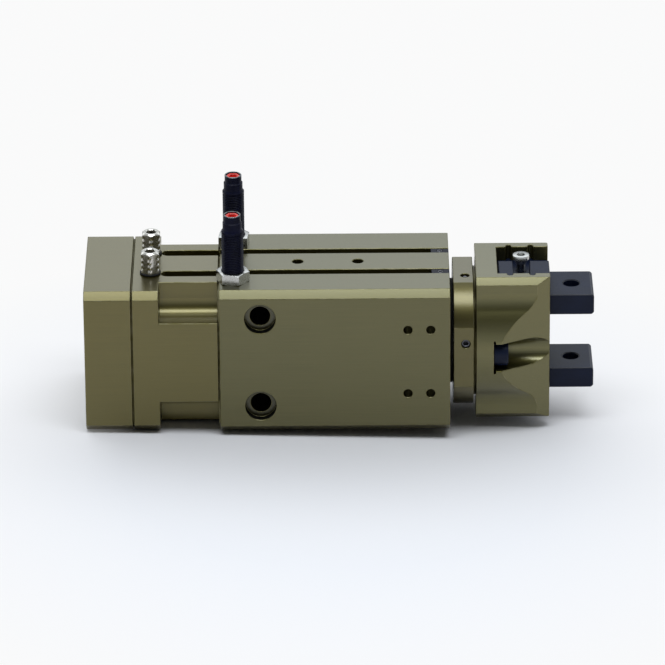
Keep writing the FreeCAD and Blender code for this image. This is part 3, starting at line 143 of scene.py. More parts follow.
class SwivelColours(bpy.types.PropertyGroup):
    """Colours of the finishes, linear."""
    anodised: colour("Anodised", (0.100, 0.090, 0.026), "Hard-anodised body and, paler, gripper housing")
    anodised_warm: colour(
        "Warm anodised", (0.110, 0.091, 0.017), "Hard-anodised cover, drive housing and, deeper, flange")
    # Lighter tone of the broken housing edges: rubbed wear, with a painted highlight along them
    edge_wear_and_sheen: colour("Worn edge", (0.20, 0.18, 0.10), "Rubbed edges of the anodised housings")
    black_steel: colour("Black steel", (0.003, 0.006, 0.019), "Black-oxide jaws and screws")
    black_edge: colour("Black edge", (0.012, 0.014, 0.024), "Rubbed edges of the black steel")
    shock_coat: colour("Shock coat", (0.002, 0.0025, 0.011), "Coating of the shock absorbers")
    # Light grey of the painted highlight on the tops of the shock absorber tips
    shock_tip_highlight: colour("Shock wear", (0.16, 0.165, 0.17), "Rubbed tips of the shock absorbers")
    # Black of the painted shade inside the mounting holes
    bore: colour("Bore", (0.004, 0.004, 0.003), "Walls of the mounting holes")
    steel: colour("Steel", (0.52, 0.52, 0.50), "Bright screws, nuts and shafts")
    burnished: colour("Burnished steel", (0.10, 0.10, 0.11), "Screws of the slot clips")
    nickel: colour("Nickel", (0.58, 0.56, 0.51), "Plated air fittings")
    aluminium: colour("Aluminium", (0.62, 0.62, 0.63), "Turned inner pieces")
    bronze: colour("Bronze", (0.48, 0.30, 0.12), "Rod gland")
    rubber: colour("Rubber", (0.012, 0.012, 0.012), "Seals")
    plastic: colour("Plastic", (0.007, 0.007, 0.014), "Slot clips")
    red: colour("Red", (0.62, 0.028, 0.016), "Adjusters of the shock absorbers")
    magnet: colour("Magnet", (0.09, 0.09, 0.10), "Piston magnet")
    floor: colour("Floor", (0.836, 0.820, 0.834), "Studio floor")
    backdrop: colour("Backdrop", (0.955, 0.957, 0.958), "Studio floor far from the object")


class SwivelSizes(bpy.types.PropertyGroup):
    """Sizes of what the solids leave plain."""
    housing_rim: length(
        "Housing rim", 0.18, "Width of the broken square edges of the housings, hole rims among them")
    housing_edge: length("Housing edge", 0.10, "Width of the broken blunt edges of the housings")
    jaw_edge: length("Jaw edge", 0.18, "Width of the broken edges of the jaws")
    clip_edge: length("Clip edge", 0.10, "Width of the moulded edges of the slot clips")
    shock_pitch: length("Shock pitch", 0.5, "Thread pitch of the shock absorbers")
    shock_flute: length("Shock thread depth", 0.27, "Thread depth of the shock absorbers")
    shock_neck: length("Shock neck", 2.5, "Neck above the thread of the shock absorbers")
    shock_neck_r: length("Shock neck radius", 2.6, "Radius of that neck")
    shock_tip: length("Shock tip", 1.9, "Tip above the neck")
    shock_tip_r: length("Shock tip radius", 2.33, "Radius of the tip")
    shock_bore_r: length("Shock bore radius", 1.14, "Bore for the rod")
    shock_bore: length("Shock bore", 11.7, "Depth of that bore")
    socket_flats: length("Tip socket", 3.6, "Across flats of the socket in the tip")
    socket_deep: length("Tip socket depth", 2.6, "Depth of that socket")
    adjuster_key: length("Adjuster key", 2.2, "Across flats of the key hole in the adjuster")
    adjuster_key_deep: length("Adjuster key depth", 1.2, "Depth of that key hole")
    mount_start: length("Mounting holes", 11.5, "Main body's rear face to its mounting holes")
    mount_z: length("Mounting hole height", 13.0, "Mounting holes from the axis")
    mount_r: length("Mounting hole radius", 2.75, "Radius of the mounting holes")
    mount_sink_r: length("Mounting sink radius", 4.25, "Radius of their counterbores")
    mount_sink: length("Mounting sink", 2.4, "Depth of their counterbores")
    # Thickness of the black sheet of painted shade that lines the mounting holes
    painted_shade_lining: length("Bore coat", 0.03, "Thickness of the dark coat on their walls")
    nut_flats: length("Nut", 8.0, "Across flats of the lock nuts")
    front_nut_turn: angle("Front nut turn", -8.0, "Front lock nut about its axis")
    rear_nut_turn: angle("Rear nut turn", 23.0, "Rear lock nut about its axis")
    nut_hole_r: length("Nut hole", 3.02, "Hole radius of the lock nuts")
    fitting_bore_r: length("Fitting bore", 1.0, "Bore radius of the air fittings")
    fitting_mouth_r: length("Fitting mouth", 1.35, "Mouth radius of the air fittings")
    fitting_mouth: length("Fitting mouth depth", 1.6, "Depth of that mouth")
    fitting_thread_r: length("Fitting thread", 1.5, "Thread radius of the air fittings")
    fitting_thread: length("Fitting thread length", 4.5, "Thread below the housing's top")
    fitting_seal: length("Fitting seal", 0.6, "Thickness of the seal under the air fittings")
    fitting_first: length("First notch", 1.25, "Seal to the first notch in the air fittings' corners")
    fitting_pitch: length("Notch spacing", 1.57, "Spacing of the notches")
    fitting_notch: length("Notch width", 0.9, "Width of a notch")
    fitting_groove: length("Notch depth", 0.34, "Depth of a notch")
    fitting_turn: angle("Fitting turn", 30.0, "Air fittings about their axes")
    cover_head_r: length("Cover screw head radius", 2.75, "Head radius of the cover screws")
    cover_head: length("Cover screw head", 3.0, "Head height of the cover screws")
    head_head: length("Head screw head", 4.0, "Head height of the gripper housing screws")
    cam_head: length("Cam screw head", 2.5, "Head height of the cam screws")
    cover_shank_r: length("Cover screw", 1.5, "Thread radius of the cover screws")
    head_shank_r: length("Head screw", 2.0, "Thread radius of the gripper housing screws")
    clamp_long: length("Clamp screw", 7.3, "Length of the swivel flange's clamp screws")
    cam_shank_r: length("Cam screw", 1.25, "Thread radius of the cam screws")
    socket_wide: share("Socket width", 0.44, "Across flats of a screw's socket, of the head's diameter")
    socket_depth: share("Socket depth", 0.5, "Depth of a screw's socket, of the head's height")
    knurl: length("Knurl", 0.045, "Depth of the knurl on the screw heads")


class SwivelStage(bpy.types.PropertyGroup):
    """Camera, floor and light."""
    target_x: length("Target", 66.5, "Point on the axis that the camera looks at")
    distance: length("Distance", 1711.4, "Camera from that point")
    elevation: angle("Elevation", 24.41, "Camera above the horizon")
    yaw: angle("Yaw", 0.089, "Camera turned round the object")
    roll: angle("Roll", -0.437, "Camera turned about its own axis")
    lens: FloatProperty(name="Lens", description="Focal length in millimetres", default=335.6, min=1.0)
    shift_x: FloatProperty(name="Shift X", description="Sideways shift of the frame", default=0.0067)
    shift_y: FloatProperty(name="Shift Y", description="Upward shift of the frame", default=-0.0026)
    floor_slope: angle("Floor slope", 1.55, "Fall of the floor towards the jaws")
    floor_r: length("Floor radius", 3000.0, "Radius of the floor")
    floor_near: length("Floor nearer", 40.0, "Middle of the floor from the axis, to the viewer")
    glow_start: length("Backdrop start", 60.0, "Middle of the floor to where it begins to turn white")
    glow_end: length("Backdrop end", 150.0, "Middle of the floor to where it is all white")
    strip: FloatProperty(
        name="Strip light", description="Power of the strip light overhead in watts", default=5.0)
    strip_long: length("Strip length", 900.0, "Length of the strip light")
    strip_wide: length("Strip width", 320.0, "Width of the strip light")
    strip_near: length("Strip nearer", 235.0, "Strip light from the axis, to the viewer")
    strip_up: length("Strip height", 868.0, "Strip light above the axis")
    daylight: colour("Light", (0.90, 0.955, 1.0), "Colour of the light")
    card: FloatProperty(
        name="Front card", description="Light that metal sees at the viewer's horizon", default=0.9, min=0.0)
    card_top: angle("Front card top", 40.0, "Height at which that light has faded")
    tent: FloatVectorProperty(
        name="Light tent",
        description="Light from the viewer's horizon, over the top, to the horizon behind the object",
        default=(0.02, 0.06, 0.22, 0.5, 0.95, 2.24, 0.44), size=7, min=0.0)


def colours():
    return bpy.context.scene.swivel_colours


def sizes():
    return bpy.context.scene.swivel_sizes


def stage():
    return bpy.context.scene.swivel_stage


# Meshes lofted from rings about an axis

def hexagon(flats):
    """Radius of a hexagon by angle, with two corners on the first axis."""
    return lambda turn: flats / 2 / math.cos(turn % (math.pi / 3) - math.pi / 6)


def smaller(one, other):
    """The radius of whichever of two sections lies inside."""
    return lambda turn: min(radius_at(one, turn), radius_at(other, turn))


def radius_at(section, turn):
    return section(turn) if callable(section) else section


def fluted(radius, depth, count):
    """A round section with fine flutes."""
    return lambda turn: radius - depth * (0.5 - 0.5 * math.cos(turn * count))


def thread_rings(radius, depth, pitch, start, end):
    """Rings of a screw thread that runs out at both ends."""
    count = max(2, round((end - start) / pitch * THREAD_STEPS))
    rings = []
    for index in range(count + 1):
        height = start + (end - start) * index / count
        ends = min(1.0, index / THREAD_STEPS, (count - index) / THREAD_STEPS)
        rings.append((thread_section(radius, depth * ends, height / pitch), height))
    return rings


def thread_section(radius, depth, phase):
    """A section through a thread, deepest over a part of each turn."""
    return lambda turn: radius - depth * min(
        1.0, THREAD_STEEP * abs(2 * ((phase - turn / TURN) % 1.0) - 1.0))


def add_loft(build, rings, matrix, closed):
    """Skin a stack of rings. A closed one joins its last ring to its first, an open one is capped."""
    loops = []
    for section, height in rings:
        loop = []
        for step in range(SEGMENTS):
            turn = TURN * step / SEGMENTS
            radius = radius_at(section, turn)
            point = Vector((radius * math.cos(turn), radius * math.sin(turn), height))
            loop.append(build.verts.new(matrix @ point))
        loops.append(loop)
    pairs = list(zip(loops, loops[1:]))
    if closed:
        pairs.append((loops[-1], loops[0]))
    else:
        build.faces.new(list(reversed(loops[0])))
        build.faces.new(loops[-1])
    for low, high in pairs:
        for step in range(SEGMENTS):
            after = (step + 1) % SEGMENTS
            build.faces.new((low[step], low[after], high[after], high[step]))


def lofted_piece(name, node, material, solids, closed=False, stands_for=True):
    """One piece that stands for a node or sits on it, of lofted solids, each with its rings and place."""
    build = bmesh.new()
    for rings, matrix in solids:
        add_loft(build, rings, matrix, closed)
    bmesh.ops.recalc_face_normals(build, faces=build.faces)
    for face in build.faces:
        face.smooth = True
    for edge in build.edges:
        edge.smooth = edge.calc_face_angle(0.0) < CREASE
    mesh = bpy.data.meshes.new(name)
    build.to_mesh(mesh)
    build.free()
    mesh.materials.append(material)
    item = bpy.data.objects.new(name, mesh)
    bpy.context.scene.collection.objects.link(item)
    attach(item, BODY_OF[node])
    if stands_for:
        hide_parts(node)
    return item


def at(x, y, z, turn=UP):
    return Matrix.Translation((x, y, z)) @ turn


def middle(node):
    low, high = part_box(node)
    return (low + high) / 2


# Finishes

class Finish:
    """A principled material whose tone, roughness and relief come from noise in the part's frame."""

    def __init__(self, name, tint, metallic, roughness):
        self.material = bpy.data.materials.new(name)
        self.material.use_nodes = True
        self.tree = self.material.node_tree
        self.shader = self.tree.nodes["Principled BSDF"]
        self.place = self.tree.nodes.new("ShaderNodeTexCoord").outputs["Object"]
        self.tint = tint
        self.roughness = roughness
        self.colour = None
        self.shader.inputs["Base Color"].default_value = (*tint, 1.0)
        self.shader.inputs["Metallic"].default_value = metallic
        self.shader.inputs["Roughness"].default_value = roughness

    def add(self, kind, **settings):
        node = self.tree.nodes.new(kind)
        for name, value in settings.items():
            setattr(node, name, value)
        return node

    def link(self, source, target):
        self.tree.links.new(source, target)

    def noise(self, scale, stretch=(1.0, 1.0, 1.0)):
        """Noise of a scale per metre, drawn out along the axes with a low stretch."""
        mapping = self.add("ShaderNodeMapping")
        mapping.inputs["Scale"].default_value = stretch
        self.link(self.place, mapping.inputs["Vector"])
        noise = self.add("ShaderNodeTexNoise")
        noise.inputs["Scale"].default_value = scale
        noise.inputs["Detail"].default_value = NOISE_DETAIL
        self.link(mapping.outputs["Vector"], noise.inputs["Vector"])
        return noise.outputs["Fac"]

    def span(self, source, low, high, start=0.3, end=0.7):
        """Spread a noise value over a range."""
        node = self.add("ShaderNodeMapRange")
        for name, value in (("From Min", start), ("From Max", end), ("To Min", low), ("To Max", high)):
            node.inputs[name].default_value = value
        self.link(source, node.inputs["Value"])
        return node.outputs["Result"]

    def vary_tone(self, source, tint):
        """Shade the colour towards another tint where the noise is high."""
        node = self.add("ShaderNodeMix", data_type="RGBA")
        self.link(self.span(source, 0.0, 1.0), node.inputs["Factor"])
        if self.colour is None:
            node.inputs[MIX_A].default_value = (*self.tint, 1.0)
        else:
            self.link(self.colour, node.inputs[MIX_A])
        node.inputs[MIX_B].default_value = (*tint, 1.0)
        self.colour = node.outputs[MIX_RESULT]
        self.link(self.colour, self.shader.inputs["Base Color"])
        return self

    def vary_roughness(self, source, spread):
        self.link(self.span(source, self.roughness - spread, self.roughness + spread),
                  self.shader.inputs["Roughness"])
        return self

    def relief(self, source, height):
        """Bump of a real height in metres."""
        node = self.add("ShaderNodeBump")
        node.inputs["Strength"].default_value = 1.0
        node.inputs["Distance"].default_value = height
        self.link(source, node.inputs["Height"])
        self.link(node.outputs["Normal"], self.shader.inputs["Normal"])
        return self

    def specular(self, level):
        self.shader.inputs["Specular IOR Level"].default_value = level
        return self

    def coat(self, weight, roughness, ior=1.5):
        self.shader.inputs["Coat Weight"].default_value = weight
        self.shader.inputs["Coat Roughness"].default_value = roughness
        self.shader.inputs["Coat IOR"].default_value = ior
        return self


def shaded(tint, factor):
    return tuple(min(1.0, part * factor) for part in tint)


def anodised_finish(name, tint):
    finish = Finish(name, tint, metallic=0.9, roughness=0.33)
    lines = finish.noise(scale=1500.0, stretch=(0.04, 2.0, 2.0))
    grain = finish.noise(scale=5200.0)
    finish.vary_tone(finish.noise(scale=46.0), shaded(tint, factor=0.93))
    finish.vary_tone(lines, shaded(tint, factor=1.06))
    finish.vary_roughness(grain, spread=0.05)
    finish.relief(grain, height=0.0016 * MM)
    finish.coat(weight=1.0, roughness=0.22)
    return finish.material


# Finish of the broken housing edges, lighter than the anodised faces: rubbed wear and a painted edge
# highlight
def edge_wear_and_sheen_finish():
    tint = colours().edge_wear_and_sheen
    finish = Finish("anodised_edge_wear_and_sheen", tint, metallic=0.9, roughness=0.33)
    finish.vary_tone(finish.noise(scale=420.0), colours().anodised)
    finish.vary_roughness(finish.noise(scale=1800.0), spread=0.06)
    return finish.material


def black_steel_finish():
    tint = colours().black_steel
    finish = Finish("black_oxide", tint, metallic=0.0, roughness=0.40).specular(level=0.17)
    grain = finish.noise(scale=4200.0)
    finish.vary_tone(finish.noise(scale=160.0), shaded(tint, factor=1.5))
    finish.vary_roughness(grain, spread=0.06)
    finish.relief(grain, height=0.0025 * MM)
    return finish.material


def black_edge_finish():
    tint = colours().black_edge
    finish = Finish("black_oxide_edge", tint, metallic=0.0, roughness=0.36).specular(level=0.4)
    finish.vary_tone(finish.noise(scale=600.0), colours().black_steel)
    return finish.material


def shock_finish():
    tint = colours().shock_coat
    finish = Finish("shock_coat", tint, metallic=0.0, roughness=0.42).specular(level=0.1)
    finish.vary_tone(finish.noise(scale=700.0), shaded(tint, factor=1.8))
    finish.vary_roughness(finish.noise(scale=2400.0), spread=0.06)
    return finish.material


def bright_finish(name, tint, roughness):
    """Turned or ground metal with fine rings of tooling."""
    finish = Finish(name, tint, metallic=1.0, roughness=roughness)
    grain = finish.noise(scale=3600.0, stretch=(1.0, 1.0, 0.4))
    finish.vary_tone(finish.noise(scale=240.0), shaded(tint, factor=0.9))
    finish.vary_roughness(grain, spread=0.05)
    finish.relief(grain, height=0.0004 * MM)
    return finish.material


def moulded_finish(name, tint, roughness, shine=0.5):
    """Rubber or plastic with the faint texture of its mould."""
    finish = Finish(name, tint, metallic=0.0, roughness=roughness).specular(shine)
    grain = finish.noise(scale=6000.0)
    finish.vary_tone(finish.noise(scale=500.0), shaded(tint, factor=1.35))
    finish.vary_roughness(grain, spread=0.07)
    finish.relief(grain, height=0.003 * MM)
    return finish.material


def make_finishes():
    tints = colours()
    return {
        "anodised": anodised_finish("anodised", tints.anodised),
        "black_steel": black_steel_finish(),
        "steel": bright_finish("ground_steel", tints.steel, roughness=0.27),
        "nickel_brass": bright_finish("nickel_plate", tints.nickel, roughness=0.22),
        "bare_aluminium": bright_finish("turned_aluminium", tints.aluminium, roughness=0.3),
        "bronze": bright_finish("turned_bronze", tints.bronze, roughness=0.3),
        "seal_rubber": moulded_finish("seal_rubber", tints.rubber, roughness=0.6, shine=0.15),
        "black_plastic": moulded_finish("black_plastic", tints.plastic, roughness=0.42, shine=0.15),
        "red_plastic": moulded_finish("red_plastic", tints.red, roughness=0.38),
        "magnet": moulded_finish("sintered_magnet", tints.magnet, roughness=0.5),
    }


def finish_of(node):
    """The material that the finishes operator gave a node."""
    return NODES[node].material_slots[0].material


def soften(node, rim, width, blunt, edge):
    """Break square edges by rim and others that turn more than blunt by width; edge is their finish."""
    item = NODES[node]
    item.data.materials.append(edge)
    weld = item.modifiers.new("join_corners", "WELD")
    weld.merge_threshold = CORNER_GAP
    flat = item.modifiers.new("flatten_faces", "DECIMATE")
    flat.decimate_type = "DISSOLVE"
    flat.angle_limit = FLAT_TURN
    bevels = (("break_square_edges", rim, SQUARE_TURN), ("break_blunt_edges", width, blunt))
    for name, broken, limit in bevels:
        bevel = item.modifiers.new(name, "BEVEL")
        bevel.width = broken
        bevel.segments = 2
        bevel.limit_method = "ANGLE"
        bevel.angle_limit = limit
        bevel.use_clamp_overlap = False
        bevel.loop_slide = False
        bevel.material = 1
    normal = item.modifiers.new("even_shading", "WEIGHTED_NORMAL")
    normal.keep_sharp = False


class SWIVEL_OT_finishes(bpy.types.Operator):
    """Give every solid its finish and break the edges of the outer ones"""
    bl_idname = "swivel.finishes"
    bl_label = "Finishes"

    def execute(self, context):
        finishes = make_finishes()
        for node, item in NODES.items():
            item.data.materials.clear()
            item.data.materials.append(finishes[SLOT_OF[node]])
        warm = colours().anodised_warm
        for name, tint, nodes in (
                ("anodised_warm", warm, ("rear_cover", "drive_housing")),
                ("anodised_deep", shaded(warm, DEEPER), ("swivel_flange",)),
                ("anodised_pale", shaded(colours().anodised, PALER), ("gripper_housing",))):
            finish = anodised_finish(name, tint)
            for node in nodes:
                NODES[node].data.materials[0] = finish
        edge = edge_wear_and_sheen_finish()
        for node in ("rear_cover", "drive_housing", "main_body", "swivel_flange", "gripper_housing"):
            soften(node, sizes().housing_rim, sizes().housing_edge, HOUSING_TURN, edge)
        edge = black_edge_finish()
        for node in ("upper_jaw", "lower_jaw"):
            soften(node, sizes().jaw_edge, sizes().jaw_edge, SMALL_TURN, edge)
        soften("slot_clips", sizes().clip_edge, sizes().clip_edge, SMALL_TURN, finishes["black_plastic"])
        return {"FINISHED"}


# Mounting holes

class SWIVEL_OT_bore_shade(bpy.types.Operator):
    """Line the walls of the mounting holes with a black sheet of painted shade, and lay darkened rings of
    painted shade on the seats of their counterbores
    """
    bl_idname = "swivel.bore_walls"
    bl_label = "Bore walls"

    def execute(self, context):
        node = "main_body"
        size = sizes()
        low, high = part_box(node)
        rim = size.housing_rim
        seat = high.y - size.mount_sink
        walls = [wall_rings(size.mount_r, rim - seat, seat - rim),
                 wall_rings(size.mount_sink_r, seat, high.y - rim),
                 wall_rings(size.mount_sink_r, rim - high.y, -seat)]
        places = [at(low.x + size.mount_start, 0.0, z, TO_VIEWER) for z in (size.mount_z, -size.mount_z)]
        # Painted shade: a black sheet on the hole walls stands in for the shade inside the holes
        coat = moulded_finish("painted_shade_lining", colours().bore, roughness=0.7, shine=0.05)
        solids = [(rings, place) for place in places for rings in walls]
        lofted_piece("mounting_bore_shade", node, coat, solids, closed=True, stands_for=False)
        # Rings of painted shade: the seats of the counterbores get a darkened copy of the anodised finish
        seats = [[(size.mount_r + rim, y), (size.mount_sink_r - size.painted_shade_lining, y),
                  (size.mount_sink_r - size.painted_shade_lining, y + way * size.painted_shade_lining),
                  (size.mount_r + rim, y + way * size.painted_shade_lining)] for y, way in ((seat, 1), (-seat, -1))]
        seat_shade_finish = anodised_finish("anodised_seat_shade", shaded(colours().anodised, SEAT_SHADE))
        solids = [(rings, place) for place in places for rings in seats]
        lofted_piece("mounting_seat_shade", node, seat_shade_finish, solids, closed=True, stands_for=False)
        return {"FINISHED"}


# Rings of a thin sheet of painted shade, just inside a wall
def wall_rings(radius, start, end):
    inner = radius - sizes().painted_shade_lining
    return [(radius, start), (radius, end), (inner, end), (inner, start)]


# Shock absorbers

class SWIVEL_OT_shock_bodies(bpy.types.Operator):
    """Make the threaded bodies of the two shock absorbers"""
    bl_idname = "swivel.shock_bodies"
    bl_label = "Shock absorber bodies"

    def execute(self, context):
        material = shock_finish()
        # Painted highlight: the tops of the tips get bright metal in place of their dark coat
        worn = bright_finish("shock_tip_highlight", colours().shock_tip_highlight, roughness=0.35)
        for node in ("front_shock_body", "rear_shock_body"):
            piece = lofted_piece(node + "_threaded", node, material, [(shock_rings(node), shock_place(node))])
            highlight_top(piece, worn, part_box(node)[1].z - TIP_HIGHLIGHT)
        return {"FINISHED"}


def highlight_top(piece, material, height):
    """Give a piece's faces above a height their own finish."""
    piece.data.materials.append(material)
    for face in piece.data.polygons:
        if face.center.z > height:
            face.material_index = 1


def shock_place(node):
    centre = middle(node)
    return at(centre.x, centre.y, 0.0)


def shock_rings(node):
    size = sizes()
    low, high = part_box(node)
    radius = (high.x - low.x) / 2
    tip = high.z - size.shock_tip
    shoulder = tip - size.shock_neck
    ease = 0.35 * MM
    rim = 0.1 * MM
    nuts_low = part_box("shock_lock_nuts")[0].z
    root = radius - size.shock_flute
    key = hexagon(size.socket_flats)
    return [
        (size.shock_bore_r, low.z + size.shock_bore), (size.shock_bore_r, low.z), (radius - ease, low.z),
        (radius, low.z + ease), (radius, nuts_low - ease),
        *thread_rings(radius, size.shock_flute, size.shock_pitch, nuts_low, shoulder - 2 * ease),
        (radius, shoulder - ease), (root, shoulder), (size.shock_neck_r, shoulder + ease),
        (size.shock_neck_r, tip - ease), (size.shock_tip_r, tip - ease / 3),
        (size.shock_tip_r, high.z - rim), (size.shock_tip_r - rim, high.z),
        (hexagon(size.socket_flats + rim), high.z), (key, high.z - rim), (key, high.z - size.socket_deep)]


class SWIVEL_OT_lock_nuts(bpy.types.Operator):
    """Make the chamfered lock nuts of the shock absorbers"""
    bl_idname = "swivel.lock_nuts"
    bl_label = "Lock nuts"

    def execute(self, context):
        node = "shock_lock_nuts"
        size = sizes()
        low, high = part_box(node)
        rings = nut_rings(size.nut_flats, low.z, high.z, size.nut_hole_r)
        turns = (("front_shock_body", size.front_nut_turn), ("rear_shock_body", size.rear_nut_turn))
        solids = [(rings, shock_place(shock) @ Matrix.Rotation(turn, 4, "Z")) for shock, turn in turns]
        lofted_piece("lock_nuts_chamfered", node, finish_of(node), solids, closed=True)
        return {"FINISHED"}


def nut_rings(flats, low, high, hole):
    """A hexagon nut whose corners are turned off by a cone at both faces."""
    section = hexagon(flats)
    face = flats / 2
    proud = flats / math.sqrt(3) - face
    drop = proud * math.tan(NUT_CONE)
    steps = [step / CONE_STEPS for step in range(CONE_STEPS + 1)]
    bottom = [(smaller(section, face + proud * step), low + drop * step) for step in steps]
    top = [(smaller(section, face + proud * step), high - drop * step) for step in reversed(steps)]
    ease = 0.2 * MM
    return [*bottom, *top, (hole + ease, high), (hole, high - ease), (hole, low + ease), (hole + ease, low)]


class SWIVEL_OT_adjusters(bpy.types.Operator):
    """Make the red adjusters in the tips of the shock absorbers"""
    bl_idname = "swivel.adjusters"
    bl_label = "Adjusters"

    def execute(self, context):
        node = "shock_adjusters"
        low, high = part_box(node)
        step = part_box("rear_shock_body")[1].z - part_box("front_shock_body")[1].z
        height = high.z - low.z - step
        flats = (high.x - low.x) * math.sqrt(3) / 2
        bases = (("front_shock_body", low.z), ("rear_shock_body", low.z + step))
        solids = [(adjuster_rings(flats, base, base + height), shock_place(shock)) for shock, base in bases]
        lofted_piece("adjusters_keyed", node, finish_of(node), solids)
        return {"FINISHED"}


def adjuster_rings(flats, low, high):
    key = hexagon(sizes().adjuster_key)
    ease = 0.15 * MM
    return [(hexagon(flats), low), (hexagon(flats), high - ease), (hexagon(flats - 2 * ease), high),
            (hexagon(sizes().adjuster_key + 2 * ease), high), (key, high - ease),
            (key, high - sizes().adjuster_key_deep)]


# Air fittings

class SWIVEL_OT_air_fittings(bpy.types.Operator):
    """Make the hexagon air fittings with notched corners"""
    bl_idname = "swivel.air_fittings"
    bl_label = "Air fittings"

    def execute(self, context):
        node = "air_fittings"
        low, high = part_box(node)
        flats = high.x - low.x
        corner = flats / math.sqrt(3)
        side = high.y - corner
        turn = Matrix.Rotation(sizes().fitting_turn, 4, "Z")
        rings = fitting_rings(flats, corner, low.z, high.z)
        solids = [(rings, at(middle(node).x, y, 0.0, turn)) for y in (-side, side)]
        lofted_piece("air_fittings_notched", node, finish_of(node), solids, closed=True)
        return {"FINISHED"}


def fitting_rings(flats, corner, low, high):
    size = sizes()
    base = low + size.fitting_thread + size.fitting_seal
    bevel = corner - flats / 2 + size.fitting_groove
    ease = 0.2 * MM
    cuts = [(corner, base)]
    for row in range(FITTING_ROWS):
        height = base + size.fitting_first + size.fitting_pitch * row
        cuts += [(corner, height - size.fitting_notch / 2), (corner - size.fitting_groove, height),
                 (corner, height + size.fitting_notch / 2)]
    for step in range(CONE_STEPS + 1):
        inward = bevel * step / CONE_STEPS
        cuts.append((corner - inward, high - FITTING_CONE * (bevel - inward)))
    section = hexagon(flats)
    return [
        (size.fitting_thread_r, low), (size.fitting_thread_r, base),
        *[(smaller(section, cut), height) for cut, height in cuts],
        (size.fitting_mouth_r + ease, high), (size.fitting_mouth_r, high - ease),
        (size.fitting_mouth_r, high - size.fitting_mouth), (size.fitting_bore_r, high - size.fitting_mouth),
        (size.fitting_bore_r, low)]


class SWIVEL_OT_fitting_seals(bpy.types.Operator):
    """Make the soft seals under the air fittings"""
    bl_idname = "swivel.fitting_seals"
    bl_label = "Fitting seals"

    def execute(self, context):
        node = "fitting_seals"
        low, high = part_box(node)
        outer = (high.x - low.x) / 2
        inner = sizes().fitting_thread_r + SEAL_PLAY
        half = (high.z - low.z) / 2
        rings = []
        for step in range(SEAL_STEPS + 1):
            turn = math.pi * (step / SEAL_STEPS - 0.5)
            rings.append((outer - half + half * math.cos(turn), low.z + half + half * math.sin(turn)))
        rings += [(inner, high.z), (inner, low.z)]
        solids = [(rings, at(middle(node).x, y, 0.0)) for y in (low.y + outer, high.y - outer)]
        lofted_piece("fitting_seals_rounded", node, finish_of(node), solids, closed=True)
        return {"FINISHED"}


# Screws

def cap_screw_rings(shank_r, shank, head_r, head):
    """A cap screw with a knurled head and a hexagon socket, seated at height zero."""
    size = sizes()
    ease = head_r * CAP_EASE
    flats = size.socket_wide * 2 * head_r
    knurled = fluted(head_r, size.knurl, CAP_FLUTES)
    deep = head * (1 - size.socket_depth)
    return [
        (shank_r - ease, -shank), (shank_r, ease - shank), (shank_r, 0.0), (head_r - ease / 2, 0.0),
        (knurled, ease / 2), (knurled, head - 1.5 * ease), (head_r - ease / 4, head - ease),
        (head_r - ease, head), (hexagon(flats + ease), head), (hexagon(flats), head - ease / 2),
        (hexagon(flats), deep), (flats * CAP_PIT, deep - ease)]


def cam_screw_rings(shank_r, shank, head_r, head):
    """A screw with a smooth head that is conical underneath, seated at height zero."""
    ease = head_r * CAM_EASE
    flats = sizes().socket_wide * 2 * head_r
    return [
        (shank_r - ease, -shank), (shank_r, ease - shank), (shank_r, 0.0), (head_r * CAM_FOOT, 0.0),
        (head_r * CAM_CONE, head * CAM_CONE_TOP), (head_r, head * CAM_RIM), (head_r, head - ease),
        (head_r - ease / 3, head - ease / 3), (head_r - ease, head), (hexagon(flats + ease), head),
        (hexagon(flats), head - ease), (hexagon(flats), head * CAM_PIT)]


class SWIVEL_OT_cap_screws(bpy.types.Operator):
    """Make the cap screws of the cover, the gripper housing and the jaws"""
    bl_idname = "swivel.cap_screws"
    bl_label = "Cap screws"

    def execute(self, context):
        self.cover_screws()
        self.head_screws()
        for node, turn in (("upper_cam_screw", UP), ("lower_cam_screw", DOWN)):
            self.cam_screw(node, turn)
        return {"FINISHED"}

    def cover_screws(self):
        node = "cover_screws"
        low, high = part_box(node)
        head_r = sizes().cover_head_r
        y, z = high.y - head_r, high.z - head_r
        seat = low.x + sizes().cover_head
        rings = cap_screw_rings(sizes().cover_shank_r, high.x - seat, head_r, sizes().cover_head)
        places = [at(seat, y * one, z * other, BACKWARD) for one in (-1, 1) for other in (-1, 1)]
        lofted_piece("cover_screws_socketed", node, finish_of(node), [(rings, place) for place in places])

    def head_screws(self):
        node = "head_screws"
        low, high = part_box(node)
        head_r = (high.z - low.z) / 2
        seat = high.x - sizes().head_head
        rings = cap_screw_rings(sizes().head_shank_r, seat - low.x, head_r, sizes().head_head)
        places = [at(seat, y, 0.0, FORWARD) for y in (low.y + head_r, high.y - head_r)]
        lofted_piece("head_screws_socketed", node, finish_of(node), [(rings, place) for place in places])

    def cam_screw(self, node, turn):
        low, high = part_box(node)
        centre = middle(node)
        head = sizes().cam_head
        seat = high.z - head if turn is UP else low.z + head
        rings = cam_screw_rings(sizes().cam_shank_r, high.z - low.z - head, (high.x - low.x) / 2, head)
        lofted_piece(node + "_socketed", node, finish_of(node), [(rings, at(centre.x, centre.y, seat, turn))])


def set_screw_rings(radius, long):
    """A headless screw with a hexagon socket, its outer end at height zero."""
    ease = radius * SET_EASE
    flats = radius * SET_FLATS
    return [(radius - ease, -long), (radius, ease - long), (radius, -ease), (radius - ease, 0.0),
            (hexagon(flats + ease), 0.0), (hexagon(flats), -ease / 2), (hexagon(flats), -radius * SET_PIT)]


